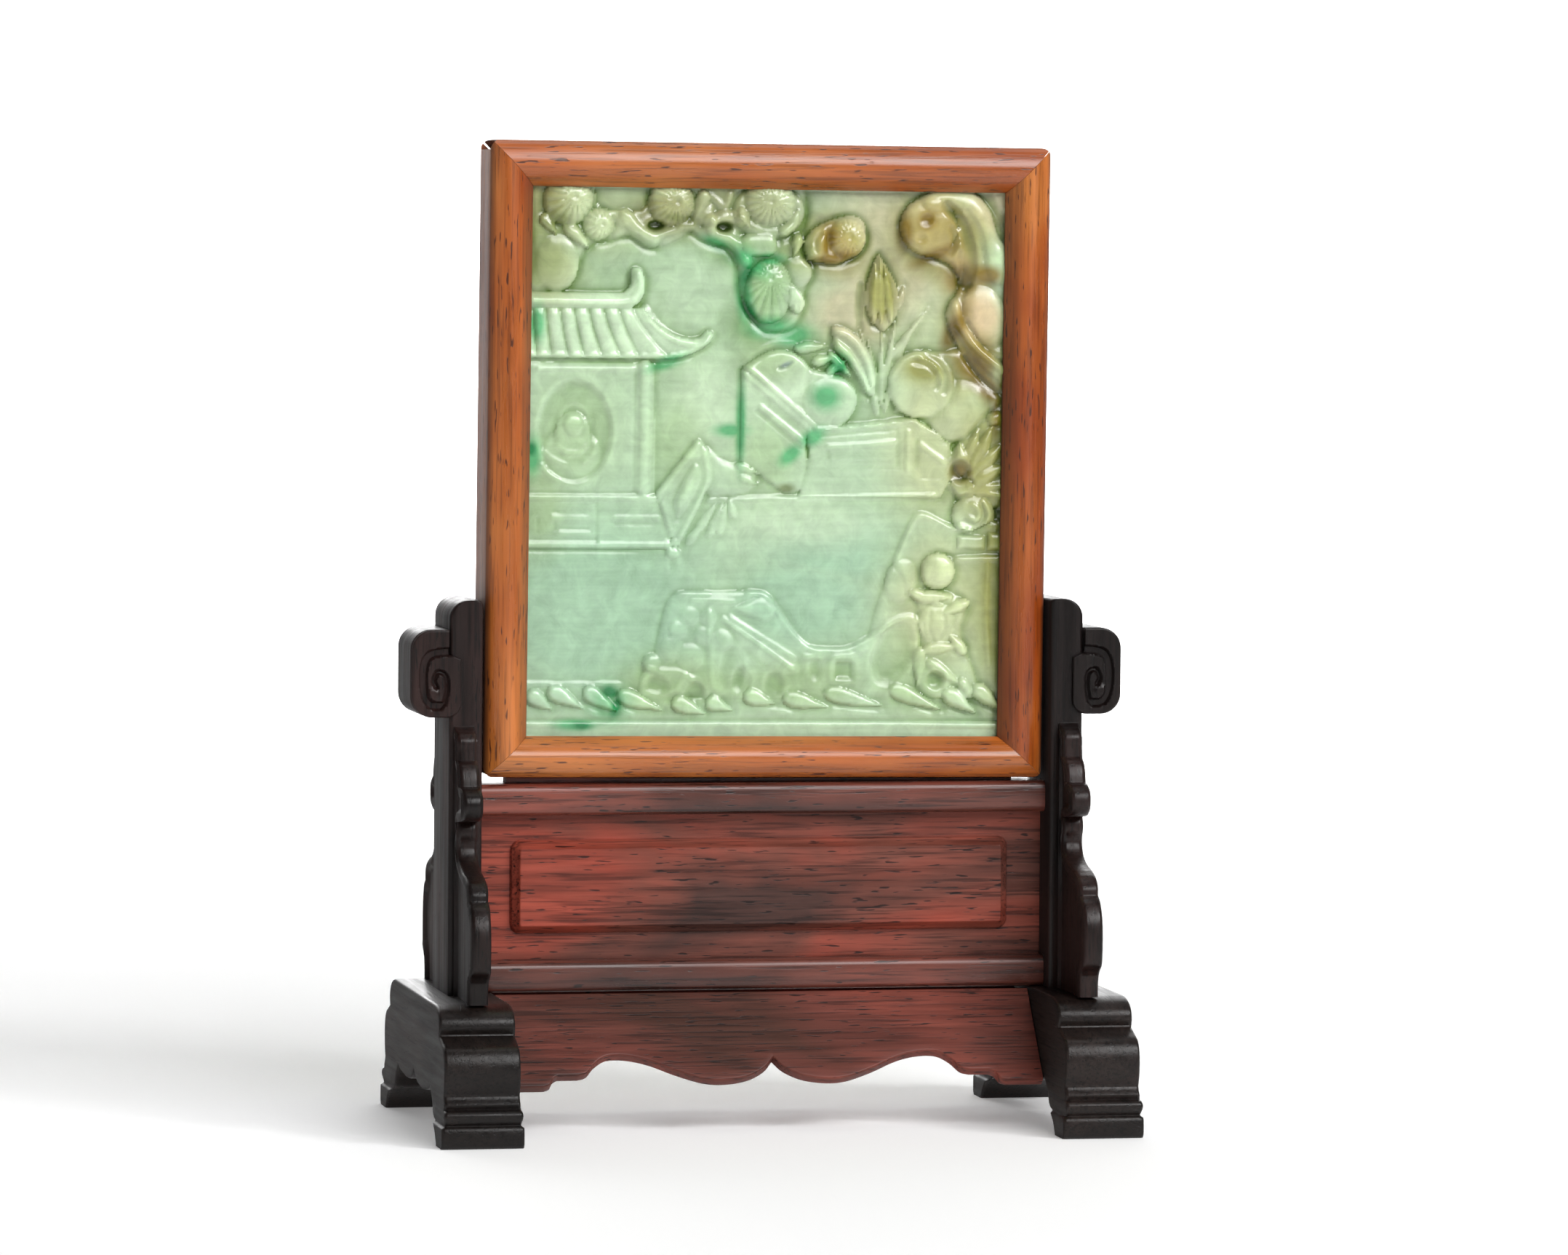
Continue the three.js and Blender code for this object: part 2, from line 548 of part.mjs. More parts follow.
// ---------------------------------------------------------------- spandrels
// Shaped standing spandrels before and behind each post: a leaf tip, curls and knobs down to a waist,
// then a belly over a square base.
function spandrel(side, facing) {
  const reach = facing < 0 ? frontSpandrelReach : backSpandrelReach;
  const depthScale = (reach - postHalfDepth) / (frontSpandrelReach - postHalfDepth);
  const outline = new THREE.Shape();
  outline.moveTo(postHalfDepth, footTop);
  outline.lineTo(32.8, footTop);
  outline.lineTo(33.2, 34.9);
  outline.lineTo(34.4, 36.6);
  outline.quadraticCurveTo(36.9, 37.2, frontSpandrelReach, 42.5);
  outline.quadraticCurveTo(36.9, 49.6, 33.2, 52);
  outline.lineTo(31.4, 52.8);
  outline.quadraticCurveTo(31, 56.8, 24.9, 57.9);
  outline.quadraticCurveTo(17, 59, 16, 63.5);
  outline.quadraticCurveTo(16.9, 66, 16, 68.8);
  outline.lineTo(20.2, 69.6);
  outline.absarc(21.6, 72.9, 2.6, -Math.PI / 3, Math.PI * 0.55);
  outline.lineTo(18.6, 77.3);
  outline.absarc(16.2, 79.6, 1.9, -Math.PI / 4, Math.PI * 0.5);
  outline.lineTo(14.6, 86);
  outline.quadraticCurveTo(15.4, 88.6, 13, 89);
  outline.lineTo(postHalfDepth, 90.4);
  const points = outline.getPoints(3).map((point) => [
    facing * (postHalfDepth + (point.x - postHalfDepth) * depthScale), point.y]);
  const ordered = facing < 0 ? points.reverse() : points;
  const centre = side * spandrelCentre;
  return lengthwiseBar(polygon(ordered), centre - spandrelThickness / 2, centre + spandrelThickness / 2);
}

for (const [label, side] of sides) {
  place(`foot_${label}`, foot(side), blackBrownHardwood());
  place(`spandrel_front_${label}`, spandrel(side, -1), redBrownHardwood());
  place(`spandrel_back_${label}`, spandrel(side, 1), redBrownHardwood());
}

export default screen;
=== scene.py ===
"""Table screen: a jade plaque carved in relief, in an orange-brown hardwood frame that stands in a
dark hardwood stand. Blender works in metres; the pieces below are worked out in millimetres."""
from math import cos, pi, radians, sin

import bmesh
import bpy
import numpy as np
from mathutils import Matrix, Vector


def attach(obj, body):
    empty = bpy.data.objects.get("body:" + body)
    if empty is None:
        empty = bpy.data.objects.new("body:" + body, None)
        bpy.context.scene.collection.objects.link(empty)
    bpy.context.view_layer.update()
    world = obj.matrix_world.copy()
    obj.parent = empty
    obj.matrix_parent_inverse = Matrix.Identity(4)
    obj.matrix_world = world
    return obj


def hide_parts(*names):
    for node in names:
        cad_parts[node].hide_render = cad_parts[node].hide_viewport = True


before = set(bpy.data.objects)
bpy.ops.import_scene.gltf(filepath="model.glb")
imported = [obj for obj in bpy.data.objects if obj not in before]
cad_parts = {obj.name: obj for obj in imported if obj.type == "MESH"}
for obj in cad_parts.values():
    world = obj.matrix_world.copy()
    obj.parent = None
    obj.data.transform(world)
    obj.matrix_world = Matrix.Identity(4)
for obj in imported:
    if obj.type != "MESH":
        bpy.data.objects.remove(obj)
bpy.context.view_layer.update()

MM = 0.001

# ---------------------------------------------------------------- camera
# A long lens well back from the screen, a little left of it and a little above the middle of the
# plaque, held almost level.
camera_data = bpy.data.cameras.new("camera")
camera_data.sensor_width = 36
camera_data.lens = 176.92
camera = bpy.data.objects.new("camera", camera_data)
bpy.context.collection.objects.link(camera)
camera.matrix_world = (
    Matrix.Translation((-0.34431, -1.69717, 0.20426))
    @ Matrix.Rotation(radians(-11.65), 4, "Z")
    @ Matrix.Rotation(radians(90 - 3.066), 4, "X")
    @ Matrix.Rotation(radians(0.433), 4, "Z"))
bpy.context.scene.camera = camera

# ---------------------------------------------------------------- studio
# A white sweep: a level floor that turns up behind the screen in a wide curve, so no horizon shows.
# It is given a faint painted glow, so that it stays white round the shadow.
SWEEP_HALF_WIDTH = 3000
SWEEP_FRONT = -3000
SWEEP_BACK = 1300
SWEEP_RADIUS = 700
SWEEP_HEIGHT = 2600


def linear(hex_colour):
    """An sRGB colour such as "#804020" as linear red, green, blue and alpha."""
    channels = np.array([int(hex_colour[place:place + 2], 16) for place in (1, 3, 5)]) / 255
    curved = np.where(channels <= 0.04045, channels / 12.92, ((channels + 0.055) / 1.055) ** 2.4)
    return (*curved.tolist(), 1.0)


def add_node(material, kind, settings=None, links=None):
    """Adds a node, sets its attributes and input values by name, and links its inputs."""
    node = material.node_tree.nodes.new(kind)
    for name, value in (settings or {}).items():
        if isinstance(name, str) and hasattr(node, name):
            setattr(node, name, value)
        else:
            node.inputs[name].default_value = value
    for name, output in (links or {}).items():
        material.node_tree.links.new(output, node.inputs[name])
    return node


def new_material(name):
    """An empty node material and its output node."""
    material = bpy.data.materials.new(name)
    material.use_nodes = True
    material.node_tree.nodes.clear()
    return material, add_node(material, "ShaderNodeOutputMaterial")


def add_mesh(name, points, faces, material):
    """A smooth-shaded mesh at the origin, from points in millimetres and faces as rows of corner
    numbers."""
    mesh = bpy.data.meshes.new(name)
    mesh.from_pydata((np.asarray(points) * MM).tolist(), [], [list(face) for face in faces])
    mesh.polygons.foreach_set("use_smooth", np.full(len(mesh.polygons), True))
    mesh.materials.append(material)
    mesh.update()
    piece = bpy.data.objects.new(name, mesh)
    bpy.context.collection.objects.link(piece)
    return piece


def grid_faces(rows, columns, start=0, closed=False):
    """Four-cornered faces of a grid of points in rows. closed joins the last column to the first."""
    row, column = np.meshgrid(np.arange(rows - 1), np.arange(columns - (not closed)), indexing="ij")
    after = (column + 1) % columns
    corners = [row * columns + column, row * columns + after, (row + 1) * columns + after,
               (row + 1) * columns + column]
    return start + np.stack(corners, axis=-1).reshape(-1, 4)


def sweep_points():
    """Floor line, quarter circle and upright, each carried across the full width."""
    turn = np.linspace(0, pi / 2, 24)
    depth = np.concatenate([[SWEEP_FRONT], SWEEP_BACK + SWEEP_RADIUS * np.sin(turn),
                            [SWEEP_BACK + SWEEP_RADIUS]])
    height = np.concatenate([[0], SWEEP_RADIUS * (1 - np.cos(turn)), [SWEEP_HEIGHT]])
    across = np.array([-SWEEP_HALF_WIDTH, SWEEP_HALF_WIDTH])
    return np.stack(np.broadcast_arrays(across[None, :], depth[:, None], height[:, None]), axis=-1)


matt_paper, paper_output = new_material("paper_with_painted_glow_and_falloff")
paper_place = add_node(matt_paper, "ShaderNodeTexCoord").outputs["Object"]
# painted shade: the paper is white round the screen and behind it, and painted grey in front and at the
# sides, as if the light fell off there
paper_centre = add_node(matt_paper, "ShaderNodeMapping",
                        {"Location": (0, -0.45, 0), "Scale": (1.35, 0.62, 0)}, {"Vector": paper_place})
from_centre = add_node(matt_paper, "ShaderNodeVectorMath", {"operation": "LENGTH"},
                       {0: paper_centre.outputs[0]})
painted_paper_falloff = add_node(matt_paper, "ShaderNodeMapRange",
                       {"From Min": 0.55, "From Max": 1.5, "To Min": 0.93, "To Max": 0.30},
                       {"Value": from_centre.outputs["Value"]})
# painted glow: the paper gives off a little light of its own
paper_shader = add_node(matt_paper, "ShaderNodeBsdfPrincipled",
                        {"Roughness": 0.95, "Specular IOR Level": 0.05, "Emission Color": linear("#FFFFFF"),
                         "Emission Strength": 0.2}, {"Base Color": painted_paper_falloff.outputs[0]})
matt_paper.node_tree.links.new(paper_shader.outputs[0], paper_output.inputs["Surface"])
sweep_grid = sweep_points()
paper_sweep = add_mesh("paper_sweep", sweep_grid.reshape(-1, 3),
                       grid_faces(*sweep_grid.shape[:2])[:, ::-1], matt_paper)

# Soft boxes: a key high on the right, a long one in front for the gloss on the mouldings, a weak
# fill from the left, one overhead for the tops, and two that wash the sweep white.
SOFT_BOXES = [
    # name, place, aimed at, width, height, watts, spread in degrees
    ("key_right", (1.2, -1.2, 1.15), (0, 0, 0.13), 0.45, 0.45, 15, 180),
    ("front_high", (0.5, -1.6, 1.25), (0, 0, 0.13), 1.1, 1.1, 24, 180),
    ("fill_left", (-1.5, -1.3, 0.5), (0, 0, 0.1), 0.9, 0.9, 0.8, 180),
    ("overhead", (0.2, 0.2, 1.5), (0, 0.2, 0), 0.9, 0.6, 2.5, 180),
    ("paper_left", (-1.3, 0.7, 1.6), (-0.5, 2.3, 0.4), 1.2, 1.2, 45, 90),
    ("paper_right", (1.3, 0.7, 1.6), (0.5, 2.3, 0.4), 1.2, 1.2, 45, 90),
]
for light_name, place, target, width, height, watts, spread in SOFT_BOXES:
    light_data = bpy.data.lights.new(light_name, "AREA")
    light_data.shape = "RECTANGLE"
    light_data.size = width
    light_data.size_y = height
    light_data.energy = watts
    light_data.spread = radians(spread)
    light = bpy.data.objects.new(light_name, light_data)
    bpy.context.collection.objects.link(light)
    towards = (Vector(target) - Vector(place)).to_track_quat("-Z", "Y").to_matrix().to_4x4()
    light.matrix_world = Matrix.Translation(place) @ towards

world = bpy.data.worlds.new("studio_air")
world.use_nodes = True
world.node_tree.nodes["Background"].inputs["Color"].default_value = linear("#FFFFFF")
world.node_tree.nodes["Background"].inputs["Strength"].default_value = 0.1
bpy.context.scene.world = world
bpy.context.scene.view_settings.view_transform = "Standard"

# ---------------------------------------------------------------- feet
# Two shoe feet of near-black waxed rosewood, sawn and carved from thick board: a rounded shoulder,
# a groove under it, a swelling body, a bead over each pad and a pointed arch between the pads.
FOOT_CENTRE = 69.75
FOOT_HALF_WIDTH = 8.45
FOOT_TOP = 30.3
FOOT_EDGE = 0.7
PAD_INNER = 27
PAD_HEIGHT = 5.0
PAD_OVERHANG = 0.75
BEAD_HEIGHT = 7.2
BEAD_OVERHANG = 0.35
SHARP_ANGLE = radians(38)


def smooth_line(*stretches, spacing=0.5):
    """Runs through the points of each stretch on a Catmull-Rom curve. Corners stay where stretches
    meet, and a stretch of two points is straight."""
    line = []
    for stretch in stretches:
        points = np.array(stretch, dtype=float)
        padded = np.vstack([2 * points[0] - points[1], points, 2 * points[-1] - points[-2]])
        for index in range(1, len(points)):
            before, start, end, after = padded[index - 1:index + 3]
            steps = max(2, int(np.linalg.norm(end - start) / spacing) + 1)
            along = np.linspace(0, 1, steps + 1)[:-1, None]
            line.append(0.5 * (2 * start + (end - before) * along
                               + (2 * before - 5 * start + 4 * end - after) * along ** 2
                               + (3 * start - before - 3 * end + after) * along ** 3))
    return np.vstack([*line, np.array(stretches[-1][-1], dtype=float)[None]])


def evenly(line, count):
    """The line's points moved along it to count even steps."""
    steps = np.concatenate([[0], np.cumsum(np.linalg.norm(np.diff(line, axis=0), axis=1))])
    wanted = np.linspace(0, steps[-1], count)
    return np.column_stack([np.interp(wanted, steps, column) for column in line.T])


def mirrored(half):
    """A half line that ends on the line of symmetry, then its mirror image back out."""
    return np.vstack([half, (half * [-1, 1])[-2::-1]])


def board_rings(outer, inner, half_width, rounding, across=16, corner=4):
    """Section rings of an upright board that lies front to back. Each ring is a rectangle with
    rounded corners, from a point of the outer edge to its fellow on the inner edge, and half_width
    to each side. Returns the points as x, y, z, and which of them lie on the two broad faces."""
    reach = np.linalg.norm(inner - outer, axis=1)[:, None]
    direction = (inner - outer) / np.maximum(reach, 1e-6)
    radius = np.minimum(rounding, 0.45 * reach)
    turn = np.linspace(0, pi / 2, corner + 1)[None, :]
    along_face = np.linspace(0, 1, across + 2)[None, 1:-1]
    near_corner = radius * (1 - np.sin(turn))
    far_corner = reach - radius * (1 - np.sin(turn[:, ::-1]))
    edge_side = half_width - radius * (1 - np.cos(turn))
    face_depth = radius + (reach - 2 * radius) * along_face
    face_side = half_width + 0 * face_depth
    depth = np.concatenate([near_corner[:, ::-1], face_depth, far_corner[:, ::-1],
                            far_corner, face_depth[:, ::-1], near_corner], axis=1)
    side = np.concatenate([edge_side[:, ::-1], face_side, edge_side,
                           -edge_side[:, ::-1], -face_side, -edge_side], axis=1)
    place = outer[:, None, :] + direction[:, None, :] * depth[:, :, None]
    on_face = np.zeros(depth.shape[1], dtype=bool)
    on_face[corner + 1:corner + 1 + across] = True
    on_face[3 * (corner + 1) + across:3 * (corner + 1) + 2 * across] = True
    return np.stack([side, place[..., 0], place[..., 1]], axis=-1), on_face


def closed_bar(name, rings, material):
    """A solid through a row of closed rings, with both ends capped."""
    rows, columns = rings.shape[:2]
    sides = grid_faces(rows, columns, closed=True)
    caps = [np.arange(columns)[::-1], np.arange(columns) + (rows - 1) * columns]
    piece = add_mesh(name, rings.reshape(-1, 3), [*sides, *caps], material)
    outward(piece)
    return piece


def outward(piece):
    """Turns the piece's faces outwards, and keeps edges sharp where flat faces meet."""
    bpy.context.view_layer.objects.active = piece
    mesh = piece.data
    shape = bmesh.new()
    shape.from_mesh(mesh)
    bmesh.ops.recalc_face_normals(shape, faces=shape.faces)
    shape.to_mesh(mesh)
    shape.free()
    mesh.set_sharp_from_angle(angle=SHARP_ANGLE)


def foot_edges():
    """Outer edge of a foot from the tip of its front pad, over the top, to the back pad, and the
    arch under it, both as depth and height."""
    outer_half = smooth_line(
        [(44.2, 0), (44.9, 0.8), (45.0, 2.6), (44.8, 4.4), (44.1, 5.1)],
        [(44.1, 5.1), (44.9, 5.7), (45.7, 6.9), (45.4, 8.1), (43.4, 8.6)],
        [(43.4, 8.6), (43.9, 9.6), (43.1, 10.7), (42.7, 11.5)],
        [(42.7, 11.5), (43.6, 14.5), (43.6, 18.6), (42.0, 21.5), (38.6, 22.9), (35.5, 24.0)],
        [(35.5, 24.0), (36.1, 26.0), (35.4, 27.9), (33.2, 29.4), (29.6, 30.2), (25, FOOT_TOP)],
        [(25, FOOT_TOP), (0, FOOT_TOP)], spacing=0.25)
    arch_half = smooth_line(
        [(36.0, 0), (34.0, 2.6), (31.0, 4.6), (28.5, 5.2)],
        [(28.5, 5.2), (27.0, 6.2), (26.0, 8.2), (24.4, 9.8), (22.3, 11.3)],
        [(22.3, 11.3), (20.8, 10.7), (17, 10.1), (11, 9.7), (5, 10.2), (1.6, 11.4), (0, 12.6)])
    return mirrored(outer_half), mirrored(arch_half)


def bell(value, middle, spread):
    """A smooth bump of height 1 at the middle, falling away over the spread."""
    return np.exp(-((value - middle) / spread) ** 2)


TINT = {"data_type": "RGBA", "blend_type": "MULTIPLY", "Factor": 1.0}


def hardwood(name, colours, along, pores, roughness, patch=40.0, contrast=1.0, gloss=0.3,
             painted_side_shade=1.0):
    """Waxed rosewood. The grain runs along the axis named by along. Its colour drifts in patches,
    of about the given size in millimetres, between three tones. Streaks and fine dark lines 0.3 mm
    wide wander along it, and contrast scales how far they shade it. The open pores are 0.3 mm by
    3 mm, a little wider than real ones, so that they show. Wax fills them partly, and gloss is how
    strongly it shines. The last argument multiplies the colour of faces that look to the side,
    as painted shade."""
    material, output = new_material(name)
    place = add_node(material, "ShaderNodeTexCoord").outputs["Object"]

    def along_grain(stretch):
        """Object coordinates pressed together along the grain, which draws a pattern out."""
        scale = [stretch if axis == along else 1.0 for axis in "XYZ"]
        return add_node(material, "ShaderNodeMapping", {"Scale": scale}, {"Vector": place}).outputs[0]

    patches = add_node(material, "ShaderNodeTexNoise",
                       {"Scale": 1000.0 / patch, "Detail": 3.0, "Roughness": 0.55, "Distortion": 0.4},
                       {"Vector": along_grain(0.45)})
    streaks = add_node(material, "ShaderNodeTexNoise",
                       {"Scale": 420.0, "Detail": 4.0, "Roughness": 0.62, "Distortion": 0.25},
                       {"Vector": along_grain(0.055)})
    lines = add_node(material, "ShaderNodeTexNoise",
                     {"Scale": 1500.0, "Detail": 2.0, "Roughness": 0.5, "Distortion": 0.35},
                     {"Vector": along_grain(0.035)})
    dashes = add_node(material, "ShaderNodeTexNoise", {"Scale": 1700.0, "Detail": 1.0},
                      {"Vector": along_grain(0.12)})

    wood = add_node(material, "ShaderNodeValToRGB", links={"Fac": patches.outputs["Fac"]})
    ramp = wood.color_ramp
    ramp.elements[0].position = 0.38
    ramp.elements[0].color = linear(colours[0])
    ramp.elements[1].position = 0.62
    ramp.elements[1].color = linear(colours[2])
    ramp.elements.new(0.5).color = linear(colours[1])

    streak_shade = add_node(material, "ShaderNodeMapRange",
                            {"From Min": 0.3, "From Max": 0.7,
                             "To Min": 1 - 0.38 * contrast, "To Max": 1 + 0.32 * contrast},
                            {"Value": streaks.outputs["Fac"]})
    line_shade = add_node(material, "ShaderNodeMapRange",
                          {"From Min": 0.52, "From Max": 0.66,
                           "To Min": 1.0, "To Max": 1 - 0.55 * contrast},
                          {"Value": lines.outputs["Fac"]})
    shade = add_node(material, "ShaderNodeMath", {"operation": "MULTIPLY"},
                     {0: streak_shade.outputs[0], 1: line_shade.outputs[0]})
    streaked = add_node(material, "ShaderNodeMix", TINT, {6: wood.outputs["Color"], 7: shade.outputs[0]})
    pore_mask = add_node(material, "ShaderNodeMapRange",
                         {"From Min": 0.66, "From Max": 0.7, "To Max": 0.85},
                         {"Value": dashes.outputs["Fac"]})
    pored = add_node(material, "ShaderNodeMix", {"data_type": "RGBA", 7: linear(pores)},
                     {"Factor": pore_mask.outputs[0], 6: streaked.outputs[2]})

    hollow = add_node(material, "ShaderNodeMath", {"operation": "SUBTRACT"},
                      {0: line_shade.outputs[0], 1: pore_mask.outputs[0]})
    bump = add_node(material, "ShaderNodeBump", {"Strength": 0.3, "Distance": 0.00012},
                    {"Height": hollow.outputs[0]})
    satin = add_node(material, "ShaderNodeMapRange",
                     {"From Min": 0.35, "From Max": 0.65,
                      "To Min": roughness - 0.05, "To Max": roughness + 0.1},
                     {"Value": streaks.outputs["Fac"]})
    # the wax is buffed in front and on top, and the sides are left dull; faces that look to the side also
    # get painted shade
    facing = add_node(material, "ShaderNodeSeparateXYZ",
                      links={0: add_node(material, "ShaderNodeNewGeometry").outputs["Normal"]})
    sideways = add_node(material, "ShaderNodeMath", {"operation": "ABSOLUTE"}, {0: facing.outputs["X"]})
    dull = add_node(material, "ShaderNodeMapRange", {"From Min": 0.5, "From Max": 0.95, "To Max": 0.45},
                    {"Value": sideways.outputs[0]})
    roughened = add_node(material, "ShaderNodeMath", {"operation": "ADD", "use_clamp": True},
                         {0: satin.outputs[0], 1: dull.outputs[0]})
    # painted shade: faces that look to the side are darkened by the last argument's factor
    side = add_node(material, "ShaderNodeMapRange",
                    {"From Min": 0.6, "From Max": 0.95, "To Min": 1.0, "To Max": painted_side_shade},
                    {"Value": sideways.outputs[0]})
    shaded = add_node(material, "ShaderNodeMix", TINT, {6: pored.outputs[2], 7: side.outputs[0]})
    shader = add_node(material, "ShaderNodeBsdfPrincipled", {"IOR": 1.5, "Specular IOR Level": gloss},
                      {"Base Color": shaded.outputs[2], "Roughness": roughened.outputs[0],
                       "Normal": bump.outputs[0]})
    material.node_tree.links.new(shader.outputs[0], output.inputs["Surface"])
    return material


def fit_piece(piece, node):
    """The piece rides on the part and stands for the CAD node of its shape."""
    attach(piece, "root")
    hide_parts(node)


black_rosewood = hardwood("near_black_waxed_rosewood", ("#0E0908", "#16100E", "#241B18"), "Y",
                          pores="#070505", roughness=0.34)


def foot_rings(side):
    """The foot's section carried from the front pad over the arch to the back pad. The pads and
    the bead above them stand a little proud of the sides."""
    outer, arch = (evenly(edge, 320) for edge in foot_edges())
    rings, _ = board_rings(outer, arch, FOOT_HALF_WIDTH, FOOT_EDGE, across=18)
    height = rings[..., 2]
    near_pads = np.clip((np.abs(rings[..., 1]) - PAD_INNER) / 5, 0, 1)
    overhang = near_pads * (PAD_OVERHANG * np.clip((PAD_HEIGHT - height) / 0.5, 0, 1)
                            + BEAD_OVERHANG * bell(height, BEAD_HEIGHT, 1.3))
    rings[..., 0] += np.sign(rings[..., 0]) * overhang + side * FOOT_CENTRE
    return rings


for label, side in (("left", -1), ("right", 1)):
    foot = closed_bar(f"shoe_foot_{label}", foot_rings(side), black_rosewood)
    fit_piece(foot, f"foot_{label}")

# ---------------------------------------------------------------- posts
# Two uprights of dark rosewood, planed square with softened arrises, tenoned into the feet. The top
# is rounded over to the outside.
POST_INNER = 64.8
POST_OUTER = 72.3
POST_HALF_DEPTH = 11
POST_TOP = 118.3
POST_SHOULDER = 4.2
POST_ARRIS = 0.9

red_rosewood_upright = hardwood("red_brown_waxed_rosewood_upright", ("#0E0706", "#170D0B", "#2A1916"),
                                "Z", pores="#0A0605", roughness=0.34)


def rounded_ring(left, right, front, back, radius, corner=5):
    """Rectangles with rounded corners, seen along the third axis, as across and depth. Each size
    may be an array, one entry a ring."""
    left, right, front, back = (np.asarray(size, dtype=float).reshape(-1, 1)
                                for size in (left, right, front, back))
    radius = np.minimum(radius, 0.45 * np.minimum(right - left, back - front))
    turn = np.linspace(0, pi / 2, corner + 1)[None, :]
    along = np.linspace(0, 1, 12)[None, 1:-1]
    corners = [(right - radius, front + radius, -pi / 2), (right - radius, back - radius, 0),
               (left + radius, back - radius, pi / 2), (left + radius, front + radius, pi)]
    stretches = [(middle_x + radius * np.cos(turn + start), middle_y + radius * np.sin(turn + start))
                 for middle_x, middle_y, start in corners]
    front_x = left + radius + (right - left - 2 * radius) * along
    stretches.append((front_x, front + 0 * front_x))
    return [np.concatenate(parts, axis=1) for parts in zip(*stretches)]


def post_rings(side):
    """Rounded rectangles up the post. Near the top the outer side draws in on a quarter circle and
    the inner side on a small one."""
    turn = np.linspace(0, pi / 2, 14)
    height = np.concatenate([np.linspace(FOOT_TOP, POST_TOP - POST_SHOULDER, 30)[:-1],
                             POST_TOP - POST_SHOULDER * (1 - np.sin(turn))])
    rise = np.clip(height - (POST_TOP - POST_SHOULDER), 0, None)
    outer = POST_OUTER - POST_SHOULDER + np.sqrt(np.maximum(POST_SHOULDER ** 2 - rise ** 2, 0))
    inner_rise = np.clip(height - (POST_TOP - 1), 0, None)
    inner = POST_INNER + 1 - np.sqrt(np.maximum(1 - inner_rise ** 2, 0))
    across, depth = rounded_ring(inner, outer, -POST_HALF_DEPTH, POST_HALF_DEPTH, POST_ARRIS)
    return np.stack([side * across, depth, height[:, None] + 0 * across], axis=-1)


for label, side in (("left", -1), ("right", 1)):
    post = closed_bar(f"upright_post_{label}", post_rings(side), red_rosewood_upright)
    fit_piece(post, f"post_{label}")

# ---------------------------------------------------------------- scroll ears
# A squared scroll glued to the outside of each post, carved on both faces: a rounded outer band
# that winds in to a curl, which laps over the front of the post, with a raised eye.
EAR_OUTER = 80.9
EAR_BOTTOM = 92.3
EAR_TOP = 111.8
EAR_FRONT = -12
EAR_BACK = 9
LOBE_INNER = 69.8
LOBE_TOP = 105.2
LOBE_THICKNESS = 2.3
LOBE_BACK_HOLLOW = 1.25
BODY_SET_BACK = 0.6
BODY_FRONT_HOLLOW = 1.5
SCROLL_CUT = 1.5
SCROLL_HALF_WIDTH = 1.0
CURL_CUT = 1.0
CURL_HALF_WIDTH = 0.7
EYE_PLACE = (76.2, 97.3)
EYE_RISE = 0.9


def carved_block(name, outline, front, back, front_relief, back_relief, edge, material):
    """A block with the given outline, as across and height, and a carved front and back. Rings run
    from the middle of the front out to the rim, over the side, and in again to the middle of the
    back. The rim is rounded to the radius edge."""
    middle = outline.mean(axis=0)
    size = np.abs(outline - middle).max()
    share = np.concatenate([np.linspace(0.02, 1 - edge / size, 30),
                            1 - edge / size * (1 - np.sin(np.linspace(0, pi / 2, 7)[1:]))])
    level = edge - np.sqrt(np.maximum(edge ** 2 - np.clip(share * size - (size - edge), 0, None) ** 2, 0))
    flat = middle + (outline - middle)[None, :, :] * share[:, None, None]
    front_y = front + level[:, None] + front_relief(flat[..., 0], flat[..., 1])
    back_y = back - level[:, None] - back_relief(flat[..., 0], flat[..., 1])
    rings = [np.stack([flat[..., 0], depth, flat[..., 1]], axis=-1) for depth in (front_y, back_y)]
    return closed_bar(name, np.concatenate([rings[0], rings[1][::-1]]), material)


def rounded_outline(left, right, bottom, top, radii):
    """A rectangle with its own radius at each corner, from the lower right round by the upper
    right, as across and height."""
    turn = np.linspace(0, pi / 2, 12)
    corners = [(right, bottom, -1, 1, -pi / 2), (right, top, -1, -1, 0), (left, top, 1, -1, pi / 2),
               (left, bottom, 1, 1, pi)]
    arcs = [np.column_stack([x + inx * radius + radius * np.cos(turn + start),
                             z + inz * radius + radius * np.sin(turn + start)])
            for (x, z, inx, inz, start), radius in zip(corners, radii)]
    closed = np.vstack([*arcs, arcs[0][:1]])
    return evenly(closed, 161)[:-1]


def distance_to_line(across, height, line):
    """Distance of each place from the nearest stretch of a line of points."""
    nearest = np.full(np.shape(across), np.inf)
    for start, end in zip(line[:-1], line[1:]):
        run = end - start
        ahead = (across - start[0]) * run[0] + (height - start[1]) * run[1]
        share = np.clip(ahead / max(run @ run, 1e-9), 0, 1)
        nearest = np.minimum(nearest, np.hypot(across - start[0] - share * run[0],
                                               height - start[1] - share * run[1]))
    return nearest


SCROLL_GROOVE = smooth_line([(68, 106.6), (73.5, 106.9), (77.0, 106.0), (78.2, 103.2), (78.2, 98.6),
                             (76.9, 95.4), (74.6, 94.9)])
CURL_GROOVE = smooth_line([(73.6, 95.4), (73.0, 98.5), (73.3, 101.6), (75.0, 102.4), (76.0, 100.6),
                           (75.4, 99.2)])


def scroll_relief(across, height):
    """How far back the scroll's face lies: two rounded grooves, less a bump for the eye."""
    from_scroll = distance_to_line(across, height, SCROLL_GROOVE) / SCROLL_HALF_WIDTH
    from_curl = distance_to_line(across, height, CURL_GROOVE) / CURL_HALF_WIDTH
    grooves = (SCROLL_CUT * np.clip(1 - from_scroll ** 2, 0, 1) ** 0.7
               + CURL_CUT * np.clip(1 - from_curl ** 2, 0, 1))
    eye = EYE_RISE * bell(np.hypot(across - EYE_PLACE[0], height - EYE_PLACE[1]), 0, 1.2)
    return np.clip(grooves - eye, -0.4, 1.7)


